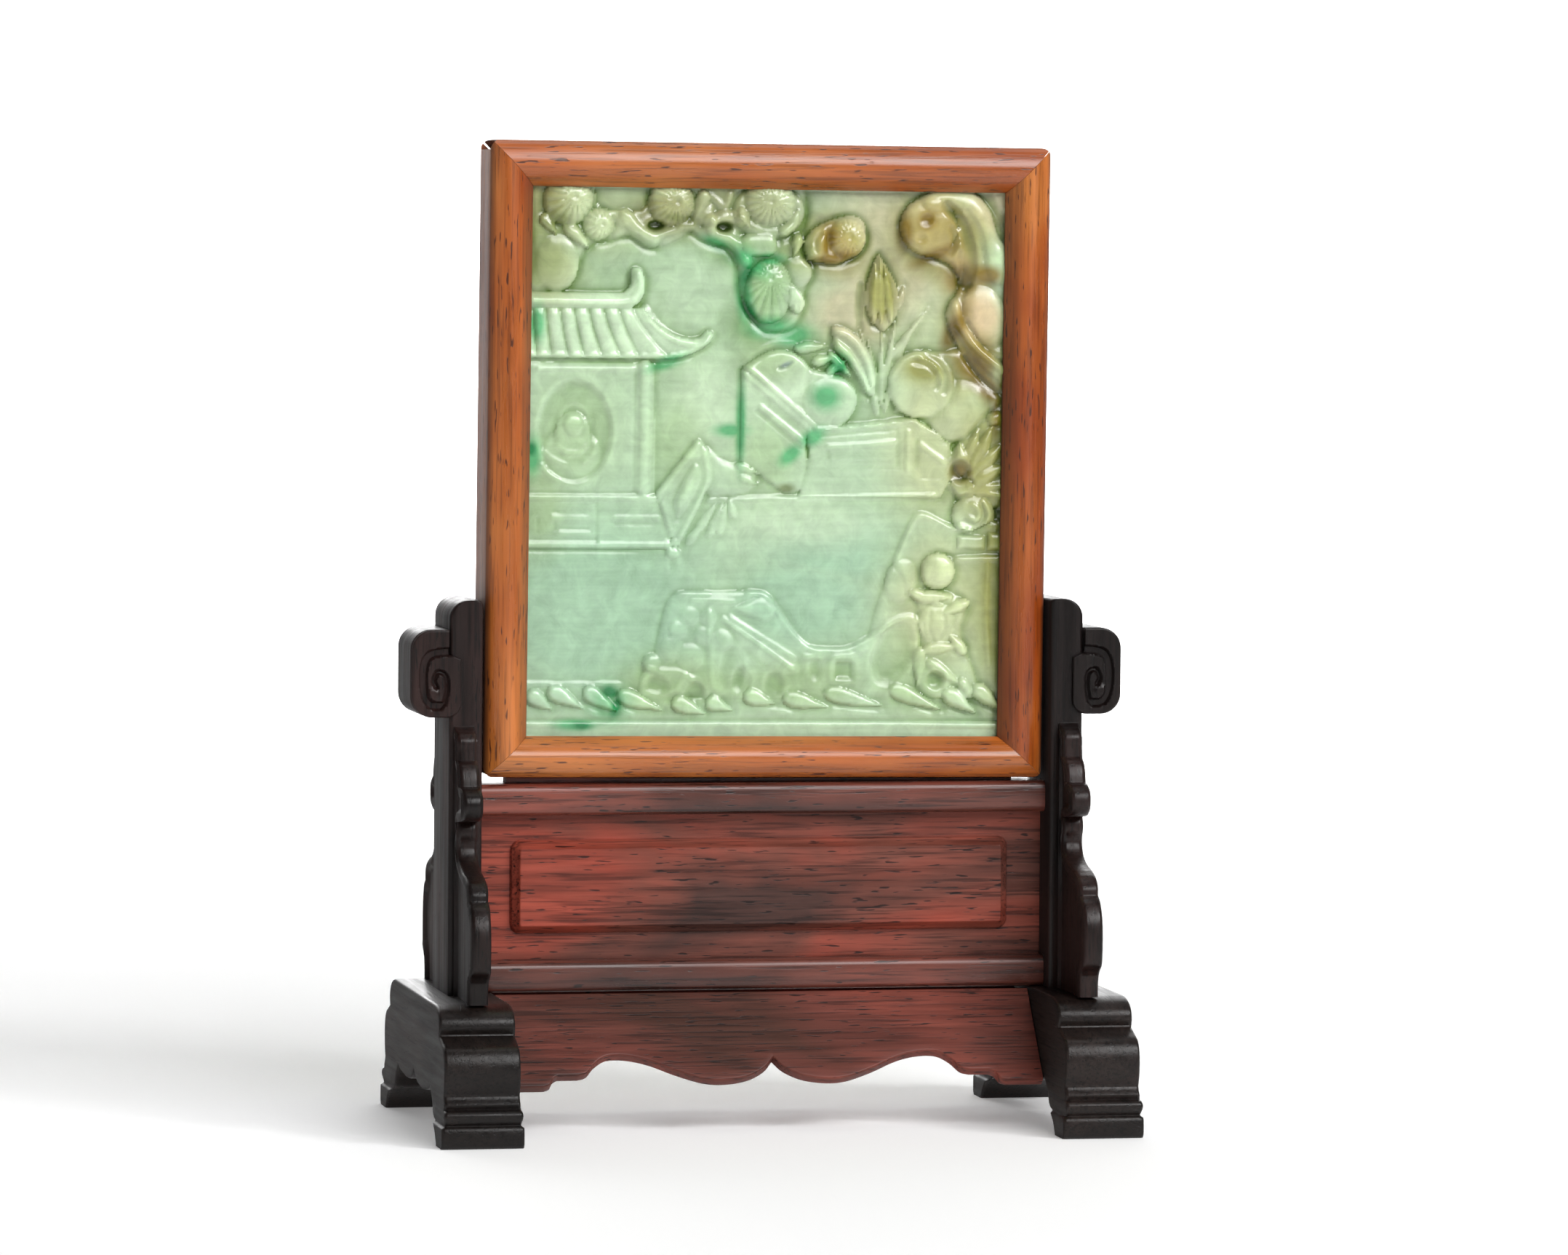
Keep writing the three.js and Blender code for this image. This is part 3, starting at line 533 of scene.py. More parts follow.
for label, side in (("left", -1), ("right", 1)):
    def turned_relief(across, height):
        """The right ear's relief, read on this side."""
        return scroll_relief(side * across, height)

    lobe = rounded_outline(LOBE_INNER, EAR_OUTER, EAR_BOTTOM, EAR_TOP, (4.6, 4.6, 0.6, 3.2))
    # above the curl the scroll stops at the post
    above_curl = np.clip((lobe[:, 1] - LOBE_TOP) / 1.2, 0, 1)
    lobe[:, 0] = np.maximum(lobe[:, 0], LOBE_INNER + above_curl * (POST_OUTER + 0.2 - LOBE_INNER))
    front_slab = carved_block(
        f"scroll_front_{label}", lobe * [side, 1], EAR_FRONT, EAR_FRONT + LOBE_THICKNESS, turned_relief,
        lambda across, height: LOBE_BACK_HOLLOW + 0 * across, 0.5, red_rosewood_upright)
    body = rounded_outline(POST_OUTER + 0.05, EAR_OUTER, EAR_BOTTOM, EAR_TOP, (4.6, 4.6, 0.3, 0.3))
    ear = carved_block(
        f"scroll_ear_{label}", body * [side, 1], EAR_FRONT + BODY_SET_BACK, EAR_BACK,
        lambda across, height: BODY_FRONT_HOLLOW + 0 * across, turned_relief, 0.6, red_rosewood_upright)
    for piece in (front_slab, ear):
        fit_piece(piece, f"ear_{label}")

# ---------------------------------------------------------------- spandrels
# Standing spandrels before and behind each post, sawn from board and carved: a leaf tip, a curl,
# three knobs and a waist above a full belly. A bead follows the edge round a sunk field.
SPANDREL_CENTRE = 69
SPANDREL_HALF_THICKNESS = 2.25
SPANDREL_TIP = 90.4
SPANDREL_INNER = POST_HALF_DEPTH + 0.02
FRONT_REACH = 36.9
BACK_REACH = 33.2
SPANDREL_BEAD = 2.0
SPANDREL_BEAD_RISE = 0.25
SPANDREL_FIELD_DEPTH = 0.75


def spandrel_profile():
    """Outer edge from the base up to the tip, as distance from the middle of the stand and
    height."""
    return smooth_line(
        [(32.8, FOOT_TOP), (32.9, 33.2), (33.4, 35.2)],
        [(33.4, 35.2), (34.4, 36.4), (36.4, 38.2), (FRONT_REACH, 42.5), (36.5, 47.6), (34.6, 51.2),
         (32.2, 53.0)],
        [(32.2, 53.0), (31.9, 54.9), (29.8, 56.9), (26.4, 58.1)],
        [(26.4, 58.1), (21.4, 59.2), (17.6, 60.9), (16.0, 63.2), (16.1, 65.0), (16.9, 66.4),
         (16.9, 68.2), (16.1, 69.6)],
        [(16.1, 69.6), (19.0, 69.7), (22.3, 70.4), (24.0, 72.6), (23.7, 75.2), (21.6, 76.9), (19.0, 77.3)],
        [(19.0, 77.3), (18.4, 79.6), (17.2, 81.8), (15.4, 82.9)],
        [(15.4, 82.9), (15.2, 85.2), (15.1, 87.4), (13.8, 88.9), (12.2, 89.6),
         (SPANDREL_INNER, SPANDREL_TIP)])


def spandrel_rings(side, facing, reach):
    """Sections from the outer edge in to the post. The sides sink inside a bead that follows the
    outer edge."""
    scale = (reach - POST_HALF_DEPTH) / (FRONT_REACH - POST_HALF_DEPTH)
    profile = evenly(spandrel_profile(), 300)
    even_height = np.linspace(0, 1, len(profile)) * (SPANDREL_TIP - FOOT_TOP) + FOOT_TOP
    inner = np.column_stack([np.full(len(profile), SPANDREL_INNER), 0.5 * (even_height + profile[:, 1])])
    scaled = SPANDREL_INNER + 0.01 + (profile[:, 0] - POST_HALF_DEPTH) * scale
    outer = np.column_stack([np.maximum(scaled, POST_HALF_DEPTH + 0.2), profile[:, 1]])
    rings, on_face = board_rings(outer, inner, SPANDREL_HALF_THICKNESS, 1.0, across=26)
    from_edge = distance_to_line(rings[..., 1], rings[..., 2], outer[::3])
    sunk = (SPANDREL_FIELD_DEPTH * np.clip((from_edge - SPANDREL_BEAD) / 0.9, 0, 1)
            - SPANDREL_BEAD_RISE * bell(from_edge, 0.6 * SPANDREL_BEAD, 0.7))
    rings[..., 0] -= np.sign(rings[..., 0]) * sunk * on_face
    rings[..., 0] += side * SPANDREL_CENTRE
    rings[..., 1] *= facing
    return rings


for label, side in (("left", -1), ("right", 1)):
    for place, facing, reach in (("front", -1, FRONT_REACH), ("back", 1, BACK_REACH)):
        spandrel = closed_bar(f"carved_spandrel_{place}_{label}", spandrel_rings(side, facing, reach),
                              red_rosewood_upright)
        fit_piece(spandrel, f"spandrel_{place}_{label}")

# ---------------------------------------------------------------- rails
# Two rails of dark rosewood between the posts, their long edges rounded with a plane. A strip on
# the upper one beds the frame.
RAIL_HALF_DEPTH = 7
UPPER_RAIL = (69.9, 76.9)
LOWER_RAIL = (FOOT_TOP, 37.2)
RAIL_END = POST_INNER - 0.03
RAIL_ROUNDING = 1.7

red_rosewood_rail = hardwood("red_brown_waxed_rosewood_rail", ("#43261F", "#6A382D", "#8A4436"), "X",
                             pores="#170A08", roughness=0.3, patch=46.0, gloss=0.6)


def rail_rings(bottom, top, half_depth, end, rounding):
    """One rounded section repeated along the rail."""
    across = np.linspace(-end, end, 40)
    depth, height = rounded_ring(-half_depth, half_depth, bottom, top, rounding)
    return np.stack(np.broadcast_arrays(across[:, None], depth, height), axis=-1)


for name, node, levels in (("upper_rail", "rail_top", UPPER_RAIL),
                           ("lower_rail", "rail_bottom", LOWER_RAIL)):
    rail = closed_bar(name, rail_rings(*levels, RAIL_HALF_DEPTH, RAIL_END, RAIL_ROUNDING),
                      red_rosewood_rail)
    fit_piece(rail, node)

# ---------------------------------------------------------------- panel
# A thin board let in between the rails and posts, with a field left raised on both faces: flat in
# the middle, hollow-bevelled to a narrow step all round, and rounded at the corners.
BOARD_HALF_THICKNESS = 2.3
FIELD_HALF_WIDTH = 57
FIELD_BOTTOM = 43.2
FIELD_TOP = 64.2
FIELD_RISE = 2.7
FIELD_BEVEL = 1.9
FIELD_CORNER = 2.4
FIELD_STEP = 0.25
FIELD_STEP_SHARE = 0.3


def inside_rounded_box(across, height, half_width, bottom, top, corner):
    """Distance in from the outline of a rounded rectangle, negative outside it."""
    from_side = np.abs(across) - (half_width - corner)
    from_end = np.abs(height - 0.5 * (bottom + top)) - (0.5 * (top - bottom) - corner)
    outside = np.hypot(np.maximum(from_side, 0), np.maximum(from_end, 0))
    return corner - outside - np.minimum(np.maximum(from_side, from_end), 0)


def slab(name, across, heights, front, back, material):
    """A closed slab over a grid of lines: front and back give its depth at each crossing, and flat
    sides join their rims."""
    grid_x, grid_z = np.meshgrid(across, heights)
    rows, columns = grid_x.shape
    points = np.concatenate([np.stack([grid_x, depth + 0 * grid_x, grid_z], axis=-1).reshape(-1, 3)
                             for depth in (front, back)])
    number = np.arange(rows * columns).reshape(rows, columns)
    rim = np.concatenate([number[0, :-1], number[:-1, -1], number[-1, :0:-1], number[:0:-1, 0]])
    following = np.roll(rim, -1)
    behind = rows * columns
    sides = np.column_stack([following, rim, rim + behind, following + behind])
    faces = np.concatenate([grid_faces(rows, columns),
                            grid_faces(rows, columns, start=behind)[:, ::-1], sides])
    return add_mesh(name, points, faces, material)


def crowded_lines(start, end, spacing, edges, reach=3.0, fine=0.18):
    """Grid lines from start to end, spacing apart, and closer together near the given edges."""
    lines = [np.arange(start, end, spacing), [end]]
    lines += [np.arange(max(edge - reach, start), min(edge + reach, end), fine) for edge in edges]
    return np.unique(np.round(np.concatenate(lines), 3))


red_rosewood_panel = hardwood("red_brown_waxed_rosewood_panel", ("#4A302A", "#774236", "#9C4636"), "X",
                              pores="#170A08", roughness=0.38, patch=34.0)
panel_x = crowded_lines(-RAIL_END, RAIL_END, 3.0, (-FIELD_HALF_WIDTH, FIELD_HALF_WIDTH))
panel_z = crowded_lines(LOWER_RAIL[1] + 0.02, UPPER_RAIL[0] - 0.02, 1.5, (FIELD_BOTTOM, FIELD_TOP))
from_outline = inside_rounded_box(*np.meshgrid(panel_x, panel_z), FIELD_HALF_WIDTH, FIELD_BOTTOM,
                                  FIELD_TOP, FIELD_CORNER)
step = np.clip(from_outline / FIELD_STEP, 0, 1)
bevel = np.clip(from_outline / FIELD_BEVEL, 0, 1)
panel_rise = FIELD_RISE * (FIELD_STEP_SHARE * step + (1 - FIELD_STEP_SHARE) * bevel ** 1.2)
panel_front = -BOARD_HALF_THICKNESS - panel_rise
raised_panel = slab("raised_field_panel", panel_x, panel_z, panel_front, -panel_front, red_rosewood_panel)
outward(raised_panel)
fit_piece(raised_panel, "panel")

# ---------------------------------------------------------------- aprons
# Splayed boards of reddish rosewood under the lower rail, front and back. The lower edge is sawn to
# a point in the middle, a wide trough, a crest and two steps, and its arris is lightly rounded.
APRON_SPLAY = radians(41)
APRON_THICKNESS = 2.6
APRON_TOP_EDGE = (-7.5, 29.3)
APRON_END = 60.98
APRON_ABOVE = 1.1
APRON_ARRIS = 0.45

red_rosewood_apron = hardwood("red_brown_waxed_rosewood_apron", ("#48291F", "#6C372D", "#8A4234"), "X",
                              pores="#170A08", roughness=0.4, patch=46.0)


def apron_rings(facing):
    """The board's section, a rounded strip down the slope, carried along it. Its length follows
    the sawn edge."""
    half_edge = smooth_line(
        [(0, 16.9), (2.2, 19.6), (6, 21.8), (11, 22.8), (16, 22.5), (22, 20.3), (28, 17.4), (33, 16.0),
         (37.5, 16.0), (40.5, 17.9), (42.6, 20.4), (44.6, 21.1)],
        [(44.6, 21.1), (49.2, 21.1)],
        [(49.2, 21.1), (50.4, 21.9), (51.2, 23.4), (52.6, 24.0)],
        [(52.6, 24.0), (APRON_END, 24.0)], spacing=0.3)
    edge = np.vstack([half_edge[::-1] * [-1, 1], half_edge[1:]])
    across = np.unique(np.concatenate([np.linspace(-APRON_END, APRON_END, 420), [0.0]]))
    length = np.interp(across, edge[:, 0], edge[:, 1])
    down, thickness = rounded_ring(-APRON_ABOVE + 0 * length, length, 0, APRON_THICKNESS, APRON_ARRIS,
                                   corner=4)
    depth = APRON_TOP_EDGE[0] - down * sin(APRON_SPLAY) + thickness * cos(APRON_SPLAY)
    height = APRON_TOP_EDGE[1] - down * cos(APRON_SPLAY) - thickness * sin(APRON_SPLAY)
    height = np.minimum(height, FOOT_TOP - 0.05)
    return np.stack([across[:, None] + 0 * depth, -facing * depth, height], axis=-1)


for place, facing in (("front", -1), ("back", 1)):
    apron = closed_bar(f"splayed_apron_{place}", apron_rings(facing), red_rosewood_apron)
    fit_piece(apron, f"apron_{place}")

# ---------------------------------------------------------------- frame
# Four mitred members of a lighter, orange-brown rosewood with a rounded face that falls to the
# sight edge. The whole frame leans a little to its right, because it sits loose in the stand.
FRAME_WIDTH = 127.8
FRAME_HEIGHT = 141.9
FRAME_SEAT = 77.7
FRAME_LEAN = radians(0.4)
FRAME_FRONT = -7.15
FRAME_BACK = 7.75
SIDE_MOULDING = 9.9
TOP_MOULDING = 10.2
BOTTOM_MOULDING = 9.1
MOULDING_BULGE = 3.2
SIGHT_DROP = 2.35
LIP = 0.9
GROOVE_DEPTH = 2.2
GROOVE_BACK = 2.9
BACK_REBATE = 0.8
MITRE_GAP = 0.04
ARRIS = 1.3
CORNER_ROUNDING = 2.2


def leaned(points):
    """Points of the frame, which starts at height 0, set in the stand: turned about the middle of
    the frame's underside, then lifted so that its lower corner meets the rail's strip."""
    across, depth, height = np.moveaxis(points, -1, 0)
    lift = FRAME_SEAT + FRAME_WIDTH / 2 * sin(FRAME_LEAN)
    return np.stack([across * cos(FRAME_LEAN) + height * sin(FRAME_LEAN), depth,
                     lift - across * sin(FRAME_LEAN) + height * cos(FRAME_LEAN)], axis=-1)


def moulding(width):
    """Section of a member as distance in from the outer edge and depth: a cushion, which is
    MOULDING_BULGE times 1 less the square of the distance from its crest, over a straight fall to
    the sight edge, with the outer arris rounded off. Then come the lip, the groove and the back."""
    across = (1 - np.cos(np.linspace(0, pi, 57))) / 2
    cushion = MOULDING_BULGE * (1 - (2 * across ** 1.2 - 1) ** 2)
    from_arris = 1 - np.minimum(across * width / ARRIS, 1)
    rounded = ARRIS * (1 - np.sqrt(1 - from_arris ** 2))
    face = np.column_stack([across * width, FRAME_FRONT + SIGHT_DROP * across - cushion + rounded])
    lip_back = FRAME_FRONT + SIGHT_DROP + LIP
    rest = [(width, lip_back), (width - GROOVE_DEPTH, lip_back), (width - GROOVE_DEPTH, GROOVE_BACK),
            (width - BACK_REBATE, GROOVE_BACK), (width - BACK_REBATE, FRAME_BACK - 0.3),
            (width - BACK_REBATE - 0.3, FRAME_BACK), (0.5, FRAME_BACK), (0.15, FRAME_BACK - 0.15),
            (0, FRAME_BACK - 0.5)]
    return np.vstack([face, rest])


def member_rings(length, width, start_neighbour, end_neighbour):
    """The moulding carried along a member that lies at height 0. Each end is sheared along the
    line from the frame's outer corner to its inner corner, and the outer corner is rounded off."""
    inward, depth = moulding(width).T
    share = np.linspace(0, 1, 30)[:, None]
    reach = np.minimum(inward, CORNER_ROUNDING)
    corner = CORNER_ROUNDING - np.sqrt(reach * (2 * CORNER_ROUNDING - reach))
    start = -length / 2 + np.maximum(inward * start_neighbour / width + MITRE_GAP, corner)
    end = length / 2 - np.maximum(inward * end_neighbour / width + MITRE_GAP, corner)
    across = start + (end - start) * share
    return np.stack([across, depth + 0 * across, inward + 0 * across], axis=-1)


def quarter_turned(points, turns, shift):
    """Points turned clockwise by quarter turns, seen from the front, then moved across and up."""
    across, depth, height = np.moveaxis(points, -1, 0)
    for _ in range(turns):
        across, height = height, -across
    return np.stack([across + shift[0], depth, height + shift[1]], axis=-1)


FRAME_WOOD = ("#923F0C", "#AC581C", "#C47433")
SIDE_PAIR = (SIDE_MOULDING, SIDE_MOULDING)
MEMBERS = [
    # name, length, width, widths of its neighbours, middle of its outer edge; clockwise
    ("bottom", FRAME_WIDTH, BOTTOM_MOULDING, SIDE_PAIR, (0, 0)),
    ("left", FRAME_HEIGHT, SIDE_MOULDING, (TOP_MOULDING, BOTTOM_MOULDING),
     (-FRAME_WIDTH / 2, FRAME_HEIGHT / 2)),
    ("top", FRAME_WIDTH, TOP_MOULDING, SIDE_PAIR, (0, FRAME_HEIGHT)),
    ("right", FRAME_HEIGHT, SIDE_MOULDING, (BOTTOM_MOULDING, TOP_MOULDING),
     (FRAME_WIDTH / 2, FRAME_HEIGHT / 2)),
]
# the frame's sides are darkened with painted shade
orange_rosewood = [hardwood(f"orange_brown_waxed_rosewood_{along.lower()}", FRAME_WOOD, along,
                            pores="#3A1A0C", roughness=0.27, contrast=0.6, gloss=0.75, painted_side_shade=0.4)
                   for along in "XZ"]
for turns, (label, length, width, neighbours, shift) in enumerate(MEMBERS):
    rings = leaned(quarter_turned(member_rings(length, width, *neighbours), turns, shift))
    member = closed_bar(f"mitred_member_{label}", rings, orange_rosewood[turns % 2])
    fit_piece(member, f"frame_{label}")

# the strip on the upper rail, planed to the frame's lean, on which the frame stands
BED_HALF_WIDTH = 58
BED_HALF_DEPTH = 2
BED_TOP = 77.85
BED_SUNK = 0.5
BED_ARRIS = 0.2
strip_rings = rail_rings(UPPER_RAIL[1] - BED_SUNK, BED_TOP, BED_HALF_DEPTH, BED_HALF_WIDTH, BED_ARRIS)
strip_x, _, strip_z = np.moveaxis(strip_rings, -1, 0)
strip_z -= np.where(strip_z > UPPER_RAIL[1], strip_x * sin(FRAME_LEAN), 0)
bed_strip = closed_bar("bed_strip", strip_rings, red_rosewood_rail)
fit_piece(bed_strip, "rail_top")

# ---------------------------------------------------------------- plaque
# One slab of jadeite, carved in low relief and polished: pines over a pavilion, a garden wall with
# rocks and plantain, an old trunk, a child by a cliff, and waves. The back is plain and flat.
PLAQUE_EDGE = GROOVE_DEPTH - 0.3
PLAQUE_BACK = GROOVE_BACK - 0.3
GROUND_PLANE = -1.9
RIM_HEIGHT = 1.65
HIGHEST = 3.7
SIGHT_HALF_WIDTH = FRAME_WIDTH / 2 - SIDE_MOULDING
SIGHT_HEIGHT = FRAME_HEIGHT - TOP_MOULDING - BOTTOM_MOULDING
CARVING_STEP = 0.373
MIDDLE_LEVEL = 0.8
SHALLOW_SHARE = 0.5
SOFTENING = 0.55

plaque_x, plaque_z = (np.concatenate([[start - PLAQUE_EDGE],
                                      np.linspace(start + 0.15, end - 0.15,
                                                  int((end - start) / CARVING_STEP)),
                                      [end + PLAQUE_EDGE]])
                      for start, end in ((-SIGHT_HALF_WIDTH, SIGHT_HALF_WIDTH), (0, SIGHT_HEIGHT)))
carving_x, carving_z = np.meshgrid(plaque_x, plaque_z)


def ripple(size, seed):
    """Uneven swell of the whole face, between about -1 and 1: seven waves of about the given
    length in scattered directions, added up."""
    scatter = np.random.default_rng(seed)
    total = np.zeros(carving_x.shape)
    for _ in range(7):
        turn, phase = scatter.uniform(0, 2 * pi, 2)
        pace = 2 * pi / size * scatter.uniform(0.7, 1.5)
        total += np.sin((carving_x * cos(turn) + carving_z * sin(turn)) * pace + phase)
    return total / 4


# height of the carved face over the ground plane at each crossing of the grid
carving = MIDDLE_LEVEL + 0.14 * ripple(26, 1) + 0.05 * ripple(7, 2)


def near(points, reach=3.0):
    """The rows and columns of the grid that lie within reach of the points."""
    low = np.min(points, axis=0) - reach
    high = np.max(points, axis=0) + reach
    return (slice(*np.searchsorted(plaque_z, (low[1], high[1]))),
            slice(*np.searchsorted(plaque_x, (low[0], high[0]))))


def inside_outline(across, height, outline):
    """Distance in from a closed outline, negative outside it. A point is inside where a line to
    the right of it crosses the outline an odd number of times."""
    closed = np.vstack([outline, outline[:1]])
    crossings = np.zeros(across.shape, dtype=int)
    for (start_x, start_z), (end_x, end_z) in zip(closed[:-1], closed[1:]):
        if start_z != end_z:
            beside = (start_z > height) != (end_z > height)
            slope = (end_x - start_x) / (end_z - start_z)
            crossings += beside & (across < start_x + (height - start_z) * slope)
    distance = distance_to_line(across, height, closed)
    return np.where(crossings % 2 == 1, distance, -distance)


def inside_oval(across, height, middle, radii, lean=0):
    """About the distance in from an oval's rim, negative outside it. lean turns it clockwise."""
    turn = radians(lean)
    right = (across - middle[0]) * cos(turn) - (height - middle[1]) * sin(turn)
    up = (across - middle[0]) * sin(turn) + (height - middle[1]) * cos(turn)
    return (1 - np.hypot(right / radii[0], up / radii[1])) * min(radii)


def raise_mass(area, inside, top, shoulder, drop=None, sunk=0.25):
    """Lays a mass over the carving: its face is at top and rounds down by drop over the shoulder,
    as a quarter of an oval. The ground beside it is sunk so that it stands clear."""
    rounding = 1 - np.clip(inside / shoulder, 0, 1)
    face = top - (0.7 * shoulder if drop is None else drop) * (1 - np.sqrt(1 - rounding ** 2))
    carving[area] = np.where(inside > 0, face, carving[area] - sunk * bell(inside, 0, 0.9))


def raise_outline(outline, top, shoulder, drop=None, sunk=0.25):
    """A mass inside a closed line of points."""
    area = near(outline)
    raise_mass(area, inside_outline(carving_x[area], carving_z[area], outline), top, shoulder, drop, sunk)


def raise_smooth(stretches, top, shoulder, drop=None, sunk=0.25):
    """A mass inside a closed smooth line, with corners where its stretches meet."""
    raise_outline(smooth_line(*stretches, spacing=1.5), top, shoulder, drop, sunk)


def raise_oval(middle, radii, top, shoulder, drop=None, sunk=0.25, lean=0):
    """A mass inside an oval."""
    area = near([middle], max(radii) + 3)
    inside = inside_oval(carving_x[area], carving_z[area], middle, radii, lean)
    raise_mass(area, inside, top, shoulder, drop, sunk)


def raise_petals(petals, half_width, top, drop=0.7, belly=0.6, sunk=0.3):
    """Pointed leaves from base to tip, with a rounded back. The half width at a share t of the
    length is half_width times the sine of a half turn times t to the power of belly."""
    for base, tip in petals:
        area = near([base, tip])
        length = np.hypot(tip[0] - base[0], tip[1] - base[1])
        ahead = np.array([tip[0] - base[0], tip[1] - base[1]]) / length
        right, up = carving_x[area] - base[0], carving_z[area] - base[1]
        share = (right * ahead[0] + up * ahead[1]) / length
        aside = up * ahead[0] - right * ahead[1]
        beyond = np.maximum(np.abs(share - 0.5) - 0.5, 0) * length
        width = half_width * np.sin(pi * np.clip(share, 0, 1) ** belly)
        raise_mass(area, width - np.hypot(aside, beyond), top, half_width, drop, sunk)


def add_ridges(lines, half_width, rise, spacing=1.5):
    """Round-backed ridges along smooth lines: rise times the root of 1 less the square of the
    distance over the half width. A negative rise cuts a groove."""
    for line in lines:
        route = smooth_line(line, spacing=spacing)
        area = near(route)
        distance = distance_to_line(carving_x[area], carving_z[area], route)
        carving[area] += rise * np.sqrt(np.clip(1 - (distance / half_width) ** 2, 0, 1))


def sink_oval(middle, radii, depth, edge, lean=0, rim=0.25):
    """A smooth hollow with a soft raised rim."""
    area = near([middle], max(radii) + 3)
    inside = inside_oval(carving_x[area], carving_z[area], middle, radii, lean)
    carving[area] += rim * bell(inside, -0.4, 0.6) - depth * np.clip(inside / edge, 0, 1) ** 0.7


def needle_cluster(middle, radii, top, meeting, count, lean=0):
    """A round pine-needle cluster: a dome cut by grooves that spread from a small pit at meeting.
    A groove lies where the angle round the pit, times the count, comes full circle."""
    raise_oval(middle, radii, top, min(radii) * 0.95, drop=1.9, sunk=0.6, lean=lean)
    area = near([middle], max(radii) + 1)
    across, height = carving_x[area], carving_z[area]
    inside = inside_oval(across, height, middle, radii, lean)
    angle = np.arctan2(height - meeting[1], across - meeting[0])
    from_meeting = np.hypot(across - meeting[0], height - meeting[1])
    groove = (np.clip(1.7 * np.cos(angle * count) - 0.2, 0, 1)
              * np.clip((from_meeting - 0.6) / 1.4, 0, 1))
    carving[area] -= np.where(inside > 0.15, 0.5 * groove + 0.7 * bell(from_meeting, 0, 0.55), 0)


def carve_pines():
    """Cloud-like pads and boughs under the top edge, with needle clusters on them."""
    raise_smooth([[(-56, 126), (-56, 99), (-50, 98.8), (-44.6, 101.5), (-42.6, 106.5), (-40.8, 109.4),
        (-36.5, 110.6), (-31.5, 111.6), (-28.4, 109.6), (-25.8, 109.0), (-24.6, 110.8), (-21.6, 112.2),
        (-18.2, 113.0), (-15.4, 111.2), (-12.4, 110.0), (-9.4, 109.2), (-7.2, 105.6), (-6.4, 100),
        (-4.6, 95.4), (-0.6, 91.0), (5.2, 91.4), (8.0, 95), (8.6, 100), (10.4, 104.2), (8.6, 108.0),
        (7.8, 113), (8.8, 118), (8, 126)]], 1.7, 2.4, sunk=0.5)
    # the sky shows through between two boughs
    raise_smooth([[(-39.6, 126), (-39.4, 119.2), (-36.8, 117.6), (-31, 117.2), (-28.4, 118.0),
        (-27.2, 121.4), (-27, 126)]], 1.25, 2.5, drop=0.5, sunk=0)
    raise_oval((-48.2, 105.6), (5.0, 6.6), 2.2, 5.0, drop=1.0)
    raise_oval((6.4, 104.2), (3.6, 3.6), 2.1, 3.0, drop=0.9)
    raise_oval((-0.2, 117.6), (8.2, 6.4), 2.6, 2.2, sunk=0.6)
    raise_oval((-15.6, 117.6), (3.2, 3.4), 2.6, 2.6)
    raise_petals([((-46.6, 114.6), (-40.6, 108.6)), ((-51.6, 116.4), (-48.4, 111.8)),
        ((-14.6, 122), (-17.4, 115.2))], 1.5, 2.7, belly=0.5)
    raise_petals([((4.2, 113.0), (6.6, 118.4)), ((2.4, 112.4), (5.6, 115.6)),
        ((-6.8, 118.4), (-4.6, 113.6)), ((7.0, 112.6), (5.6, 107.6))], 1.3, 3.2, belly=0.6)
    add_ridges([[(-32.8, 116.4), (-30.2, 113.0), (-27.4, 111.4), (-25.2, 110.9), (-21.4, 112.6),
        (-18.2, 114.4)], [(-13.6, 115.4), (-12.6, 112.6), (-9.4, 111.2), (-6.8, 109.6), (-5.2, 106.4)],
        [(-12.6, 115.6), (-9.8, 116.6), (-6.8, 115.6)]], 1.5, 1.1)
    add_ridges([[(-20.4, 114.6), (-18.4, 117.4), (-17.6, 121)], [(-36.4, 116.8), (-33.2, 114.2)],
        [(-13.4, 120.8), (-10.4, 118.6), (-9.0, 121.4)]], 0.8, 0.5)
    sink_oval((-25.9, 114.2), (2.1, 1.2), 2.0, 0.6)
    sink_oval((-10.4, 114.0), (2.1, 1.2), 2.0, 0.6)
    needle_cluster((-45.8, 119.4), (5.7, 5.4), 3.5, (-44.4, 120.4), 17)
    needle_cluster((-38.9, 114.3), (3.5, 3.5), 3.1, (-38.2, 114.4), 14)
    needle_cluster((-22.4, 119.4), (5.1, 5.2), 3.6, (-21.2, 119.6), 20)
    needle_cluster((0.1, 119.8), (5.7, 5.5), 3.8, (0.1, 120.0), 19)
    needle_cluster((0.1, 99.8), (5.2, 7.1), 3.7, (0.3, 102.8), 20)
    raise_petals([((7.2, 95.0), (5.0, 101.8))], 1.9, 3.2, drop=0.9, belly=0.7)
    add_ridges([[(5.2, 96.0), (5.8, 98.4), (5.4, 100.4)], [(6.6, 95.6), (6.6, 98.0), (6.0, 100.0)]],
        0.4, -0.4)
    area = near([(-2.4, 110.2)], 8)
    knot = inside_rounded_box(carving_x[area] + 2.4, carving_z[area], 4.2, 107.7, 112.7, 2.3)
    raise_mass(area, knot, 2.9, 1.9, 1.0)
    raise_smooth([[(9.0, 107.0), (7.9, 110.4), (9.8, 113.6), (13.4, 115.6), (18.6, 117.0),
        (21.6, 115.6), (22.4, 112.0), (20.6, 108.6), (16.4, 106.4), (12.2, 106.4)]], 2.7, 2.0, sunk=0.6)
    needle_cluster((17.9, 111.9), (4.3, 4.4), 3.8, (18.2, 112.1), 18)
    raise_petals([((10.2, 107.2), (12.6, 114.2))], 2.0, 3.3, drop=1.0, belly=0.55)
    add_ridges([[(10.6, 108.8), (10.4, 111.0), (11.8, 112.8)]], 0.5, -0.6)


